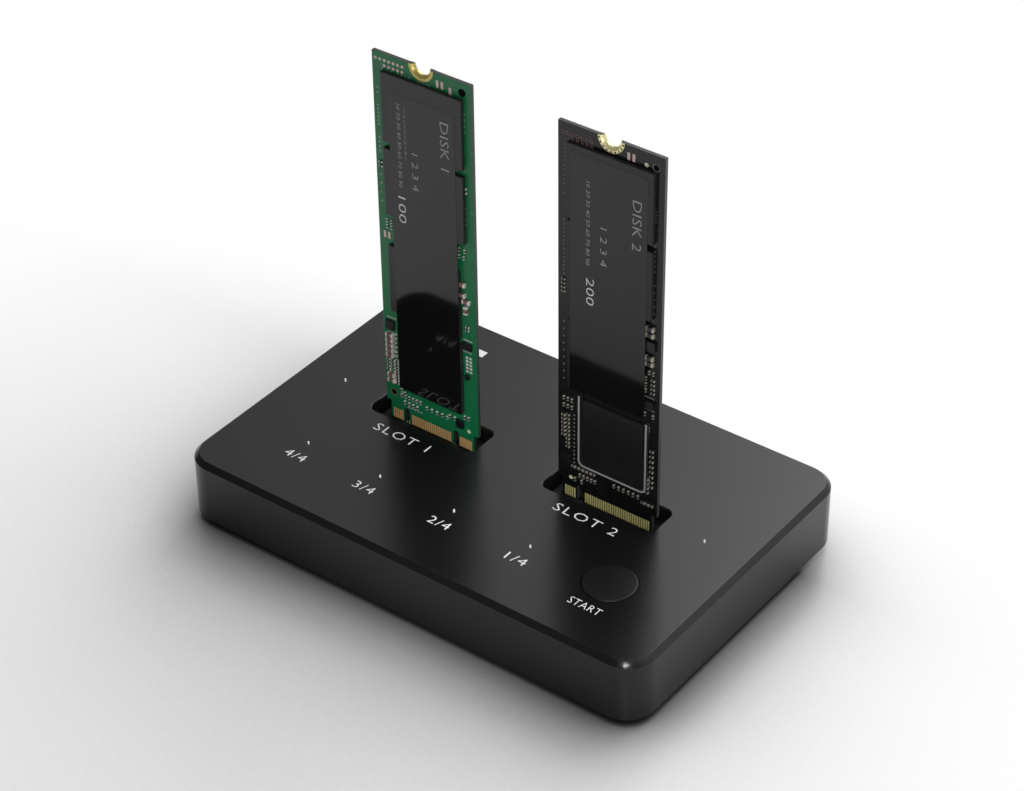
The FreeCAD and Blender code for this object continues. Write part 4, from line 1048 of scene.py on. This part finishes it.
class DUPLICATOR_OT_card_boards(bpy.types.Operator):
    """The two cards' boards, chips, labels and frame with softened edges"""

    bl_idname = "duplicator.card_boards"
    bl_label = "Card boards"

    def execute(self, context):
        edge = context.scene.card_finish.edge
        for card, board in zip(CARDS, ("green", "black")):
            self.notched_board(card, edge, board)
            for part, name in (
                ("memory_chips", "memory"), ("cache_chip", "cache"), ("controller", "processor"),
            ):
                chip = merged_copy(f"{card}_{part}", f"{card}_{name}")
                # The chips' sides get the lighter resin, painted light over their shade.
                dressed(chip, edge * 1.6, "chip", "chip_side")
            self.sticker(card, edge)
            for face in ("front_pads", "rear_pads"):
                finish_node(f"{card}_{face}", card.replace("drive", "gold"))
        shield = merged_copy("drive_b_controller_frame", "drive_b_shield_frame")
        dressed(shield, edge * 0.5, "frame", "part_dark")
        return {"FINISHED"}

    def sticker(self, card, edge):
        """The label, pressed thinner so that its rim barely shows over the chips."""
        label = merged_copy(f"{card}_label", f"{card}_sticker")
        pick(label, "FACE", lambda face: face.normal.y < -FACING)
        bpy.ops.transform.translate(value=(0.0, LABEL_PRESSED, 0.0))
        leave_edit()
        dressed(label, edge * 0.2, "label")

    def notched_board(self, card, edge, board):
        """The board and its plated half-moon, whose rim is dished to the front."""
        low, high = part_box(f"{card}_board")
        ring_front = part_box(f"{card}_end_ring")[0].y
        centre = Vector(((low.x + high.x) / 2, 0.0, high.z))
        panel = merged_copy(f"{card}_board", f"{card}_panel")
        dished(panel, centre, NOTCH_RADIUS, low.y, NOTCH_DISH)
        dressed(panel, edge, board, f"{board}_edge")
        moon = merged_copy(f"{card}_end_ring", f"{card}_half_moon")
        dished(moon, centre, RING_BORE, ring_front, RING_DISH)
        dished(moon, centre, NOTCH_RADIUS, low.y, NOTCH_DISH)
        dressed(moon, RING_EDGE, card.replace("drive", "ring"))


class DUPLICATOR_OT_card_parts(bpy.types.Operator):
    """Small parts, pads and plated holes on the two cards"""

    bl_idname = "duplicator.card_parts"
    bl_label = "Card parts"

    def execute(self, context):
        for card in CARDS:
            look = CARD_LOOKS[card]
            gold, ends, ring = card.replace("drive", "gold"), look["ends"], look["ring"]
            large, small = (1.7, 0.85, 0.7), (0.75, 0.4, 0.35)
            plated = (ring, ring * 0.5, 0.05, look["pad"], look["pad_middle"])
            for kind, slot, model, *values in (
                ("large_parts", "bright_metal", end_capped_part, large, ends, look["large"]),
                ("small_parts", "bright_metal", end_capped_part, small, ends, "part_dark"),
                ("dots", "bright_metal", ring_pad, 0.2, 0.08, 0.04, look["dot"], "hole"),
                ("ring_pads", "bright_metal", ring_pad, *plated),
                ("square_pads", "bright_metal", flat_pad, (0.6, 0.5, 0.06), ends),
                ("upright_pads", "bright_metal", flat_pad, (1.45, 0.56, 0.06), "pad"),
                ("corner_hole", "board_black", ring_pad, 0.8, 0.6, 0.05, look["corner"], "hole"),
                ("side_hole", "board_black", ring_pad, 0.8, 0.6, 0.05, "copper", "hole"),
                ("aiming_marks", "contact_gold", ring_pad, 0.42, 0.36, 0.04, "mark", "mark"),
                ("rear_test_pads", "contact_gold", ring_pad, 0.55, 0.45, 0.04, gold, gold),
                ("rear_vias", "contact_gold", ring_pad, 0.26, 0.12, 0.04, gold, "hole"),
                ("rear_hole", "contact_gold", ring_pad, 0.8, 0.6, 0.04, "dark_pad", "hole"),
            ):
                name = f"{card}_{kind}"
                if name in ROWS:
                    places = row_places(card, ROWS[name], kind.startswith("rear"))
                    placed(stamped(name, model(*values), places), card)
        self.ring_vias("drive_b")
        for card in CARDS:
            self.packages(card)
        return {"FINISHED"}

    def ring_vias(self, card):
        """Small holes round the front of the half-moon, their near-black middles painted shade."""
        low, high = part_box(f"{card}_end_ring")
        count, first_turn, turn_step, reach = 9, 190.0, 20.0, 2.5
        places = []
        for index in range(count):
            turn = math.radians(first_turn + index * turn_step)
            out = Vector((math.cos(turn), 0.0, math.sin(turn))) * reach * MM
            place = Vector(((low.x + high.x) / 2, low.y, high.z)) + out
            places.append(Matrix.Translation(place) @ upright(False))
        via = ring_pad(0.17, 0.08, 0.015, "hole", "hole")
        placed(stamped(f"{card}_ring_vias", via, places), card)

    def packages(self, card):
        """Small packages beside the large chips."""
        proud = Vector((0.0, 0.6 * MM, 0.0))
        pieces = []
        for x, down, wide, high in PACKAGES[card]:
            middle = on_board(card, x, down)
            half = Vector((wide / 2, 0.0, high / 2)) * MM
            pieces.append(block("package", middle - half - proud, middle + half, 0.07 * MM))
        placed(joined(f"{card}_packages", pieces), card, "chip")


# Words on the labels: text, capital height, base line, start, end and ink
LABEL_WORDS = {
    "drive_a": (
        ("10 20 30 40 50 60 70 80 90", 0.8, 5.9, 8.5, 25.8, "label_ink"),
        ("0 5 10 15 20 25 30 35 40 45 50", 0.42, 7.45, 8.8, 19.6, "label_ink"),
        ("1 2 3 4", 1.4, 9.0, 17.6, 25.4, "label_ink"),
        ("DISK 1", 1.9, 15.6, 8.8, 18.6, "label_ink"),
        ("100", 1.7, 5.6, 27.8, 33.4, "bold_ink"),
    ),
    "drive_b": (
        ("10 20 30 40 50 60 70 80 90", 0.8, 6.6, 9.4, 26.4, "label_ink"),
        ("1 2 3 4", 1.4, 9.6, 17.6, 25.4, "label_ink"),
        ("DISK 2", 1.9, 16.2, 9.6, 19.6, "label_ink"),
        ("200", 1.7, 6.7, 29.0, 34.6, "bold_ink"),
    ),
}


class DUPLICATOR_OT_card_print(bpy.types.Operator):
    """Plain numbers and words on the labels, and ticks on the green board"""

    bl_idname = "duplicator.card_print"
    bl_label = "Card print"

    def execute(self, context):
        down_the_card = upright(False) @ Matrix.Rotation(math.radians(-90.0), 4, "Z")
        for card in CARDS:
            label_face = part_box(f"{card}_label")[0].y + LABEL_PRESSED
            printed = {"label_ink": [], "bold_ink": []}
            for text, size, x, start, end, ink in LABEL_WORDS[card]:
                place = on_board(card, x, start)
                place.y = label_face
                span = (end - start) * MM
                words = lettering(text, size * MM, span, place, down_the_card, LABEL_INK_DEPTH)
                printed[ink].append(words)
            for ink, pieces in printed.items():
                placed(joined(f"{card}_{ink}", pieces), card, ink)
        self.board_ticks("drive_a")
        return {"FINISHED"}

    def board_ticks(self, card):
        """Short printed ticks on the board, just above the chips."""
        half = Vector((0.09, 0.0, 0.14)) * MM
        proud = Vector((0.0, 0.03 * MM, 0.0))
        pieces = []
        for row in ROWS[f"{card}_board_ticks"]:
            for point in row_points(card, *row):
                pieces.append(block("tick", point - half - proud, point + half, 0.01 * MM))
        placed(joined(f"{card}_board_ticks", pieces), card, "tick_ink")


class DUPLICATOR_OT_inner_parts(bpy.types.Operator):
    """Connectors, contacts, switches and the board inside the housing"""

    bl_idname = "duplicator.inner_parts"
    bl_label = "Inner parts"

    def execute(self, context):
        for finish, nodes in (
            ("connector", (
                "slot_a_connector", "slot_b_connector", "copy_switch_body",
                "copy_switch_plunger", "power_switch_base",
            )),
            ("gold", (
                "slot_a_front_contacts", "slot_a_rear_contacts",
                "slot_b_front_contacts", "slot_b_rear_contacts",
            )),
            ("green", ("main_board",)),
            ("chip", ("bridge_chips", "copy_controller_chip")),
            ("metal", ("crystals", "copy_switch_dome", "power_jack_blade", "power_switch_can")),
            ("part_dark", ("power_coils",)),
            ("part_body", ("power_capacitors",)),
            ("solder", ("copy_switch_legs",)),
            ("lamp", ("indicator_lamps",)),
        ):
            for node in nodes:
                finish_node(node, finish)
        return {"FINISHED"}


class DUPLICATOR_OT_back_wall(bpy.types.Operator):
    """Data socket with its contacts, power jack and the ribbed knob of the power switch"""

    bl_idname = "duplicator.back_wall"
    bl_label = "Back wall"

    def execute(self, context):
        for node, name, edge, finish, slot in (
            ("data_socket_shell", "socket_shell", 0.06, "metal", "bright_metal"),
            ("data_socket_tongue", "socket_tongue", 0.06, "connector", "connector_black"),
            ("power_jack_body", "jack_body", 0.12, "cover", "connector_black"),
            ("power_jack_pin", "jack_pin", 0.08, "metal", "bright_metal"),
            ("power_switch_knob", "power_knob", 0.1, "cover", "housing_black"),
        ):
            dressed(merged_copy(node, name), edge * MM, finish)
        self.socket_contacts()
        self.knob_ribs()
        return {"FINISHED"}

    def socket_contacts(self):
        """Twelve contacts on each side of the socket's tongue."""
        low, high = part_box("data_socket_tongue")
        count, pitch, out = 12, 0.5 * MM, 0.35 * MM
        start, end = low.y + 1.8 * MM, high.y - 0.35 * MM
        half = Vector((0.12 * MM, (end - start) / 2, 0.02 * MM))
        contact = block("pattern", -half, half, 0.01 * MM)
        along, level = (start + end) / 2, ((low + high) / 2).z
        places = [
            Matrix.Translation(((index - (count - 1) / 2) * pitch, along, level + side * out))
            for side in (-1, 1) for index in range(count)
        ]
        placed(stamped("socket_contacts", contact, places), "housing", "gold")

    def knob_ribs(self):
        """Three grip ribs on the end of the knob."""
        low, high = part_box("power_switch_knob")
        middle = (low + high) / 2
        half = Vector((0.12, 0.07, 0.6)) * MM
        rib = block("pattern", -half, half, 0.05 * MM)
        places = [
            Matrix.Translation((middle.x + step * MM, high.y, middle.z))
            for step in (-0.55, 0.0, 0.55)
        ]
        body = NODES["power_switch_knob"]["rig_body"]
        placed(stamped("power_knob_ribs", rib, places), body, "cover")


OPERATORS = (
    DUPLICATOR_OT_stage, DUPLICATOR_OT_housing, DUPLICATOR_OT_print,
    DUPLICATOR_OT_card_boards, DUPLICATOR_OT_card_parts, DUPLICATOR_OT_card_print,
    DUPLICATOR_OT_inner_parts, DUPLICATOR_OT_back_wall,
)
GROUPS = (
    ("housing_finish", HousingFinish), ("print_layout", PrintLayout),
    ("card_finish", CardFinish), ("studio_setup", StudioSetup),
)


class DUPLICATOR_PT_panel(bpy.types.Panel):
    """Lists the parts of the drive duplicator"""

    bl_idname = "DUPLICATOR_PT_panel"
    bl_label = "Drive duplicator"
    bl_space_type = "VIEW_3D"
    bl_region_type = "UI"
    bl_category = "Duplicator"

    def draw(self, context):
        for operator in OPERATORS:
            self.layout.operator(operator.bl_idname)
        for name, group in GROUPS:
            box = self.layout.box()
            for key in group.__annotations__:
                box.prop(getattr(context.scene, name), key)


def register():
    for _, group in GROUPS:
        bpy.utils.register_class(group)
    for operator in OPERATORS:
        bpy.utils.register_class(operator)
    bpy.utils.register_class(DUPLICATOR_PT_panel)
    for name, group in GROUPS:
        setattr(bpy.types.Scene, name, bpy.props.PointerProperty(type=group))


def unregister():
    for name, _ in GROUPS:
        delattr(bpy.types.Scene, name)
    bpy.utils.unregister_class(DUPLICATOR_PT_panel)
    for operator in reversed(OPERATORS):
        bpy.utils.unregister_class(operator)
    for _, group in reversed(GROUPS):
        bpy.utils.unregister_class(group)


def main():
    """Registers the add-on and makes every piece."""
    register()
    bpy.context.scene.view_settings.view_transform = "Standard"
    bpy.ops.duplicator.stage()
    bpy.ops.duplicator.housing()
    bpy.ops.duplicator.print()
    bpy.ops.duplicator.card_boards()
    bpy.ops.duplicator.card_parts()
    bpy.ops.duplicator.card_print()
    bpy.ops.duplicator.inner_parts()
    bpy.ops.duplicator.back_wall()


if __name__ == "__main__":
    main()
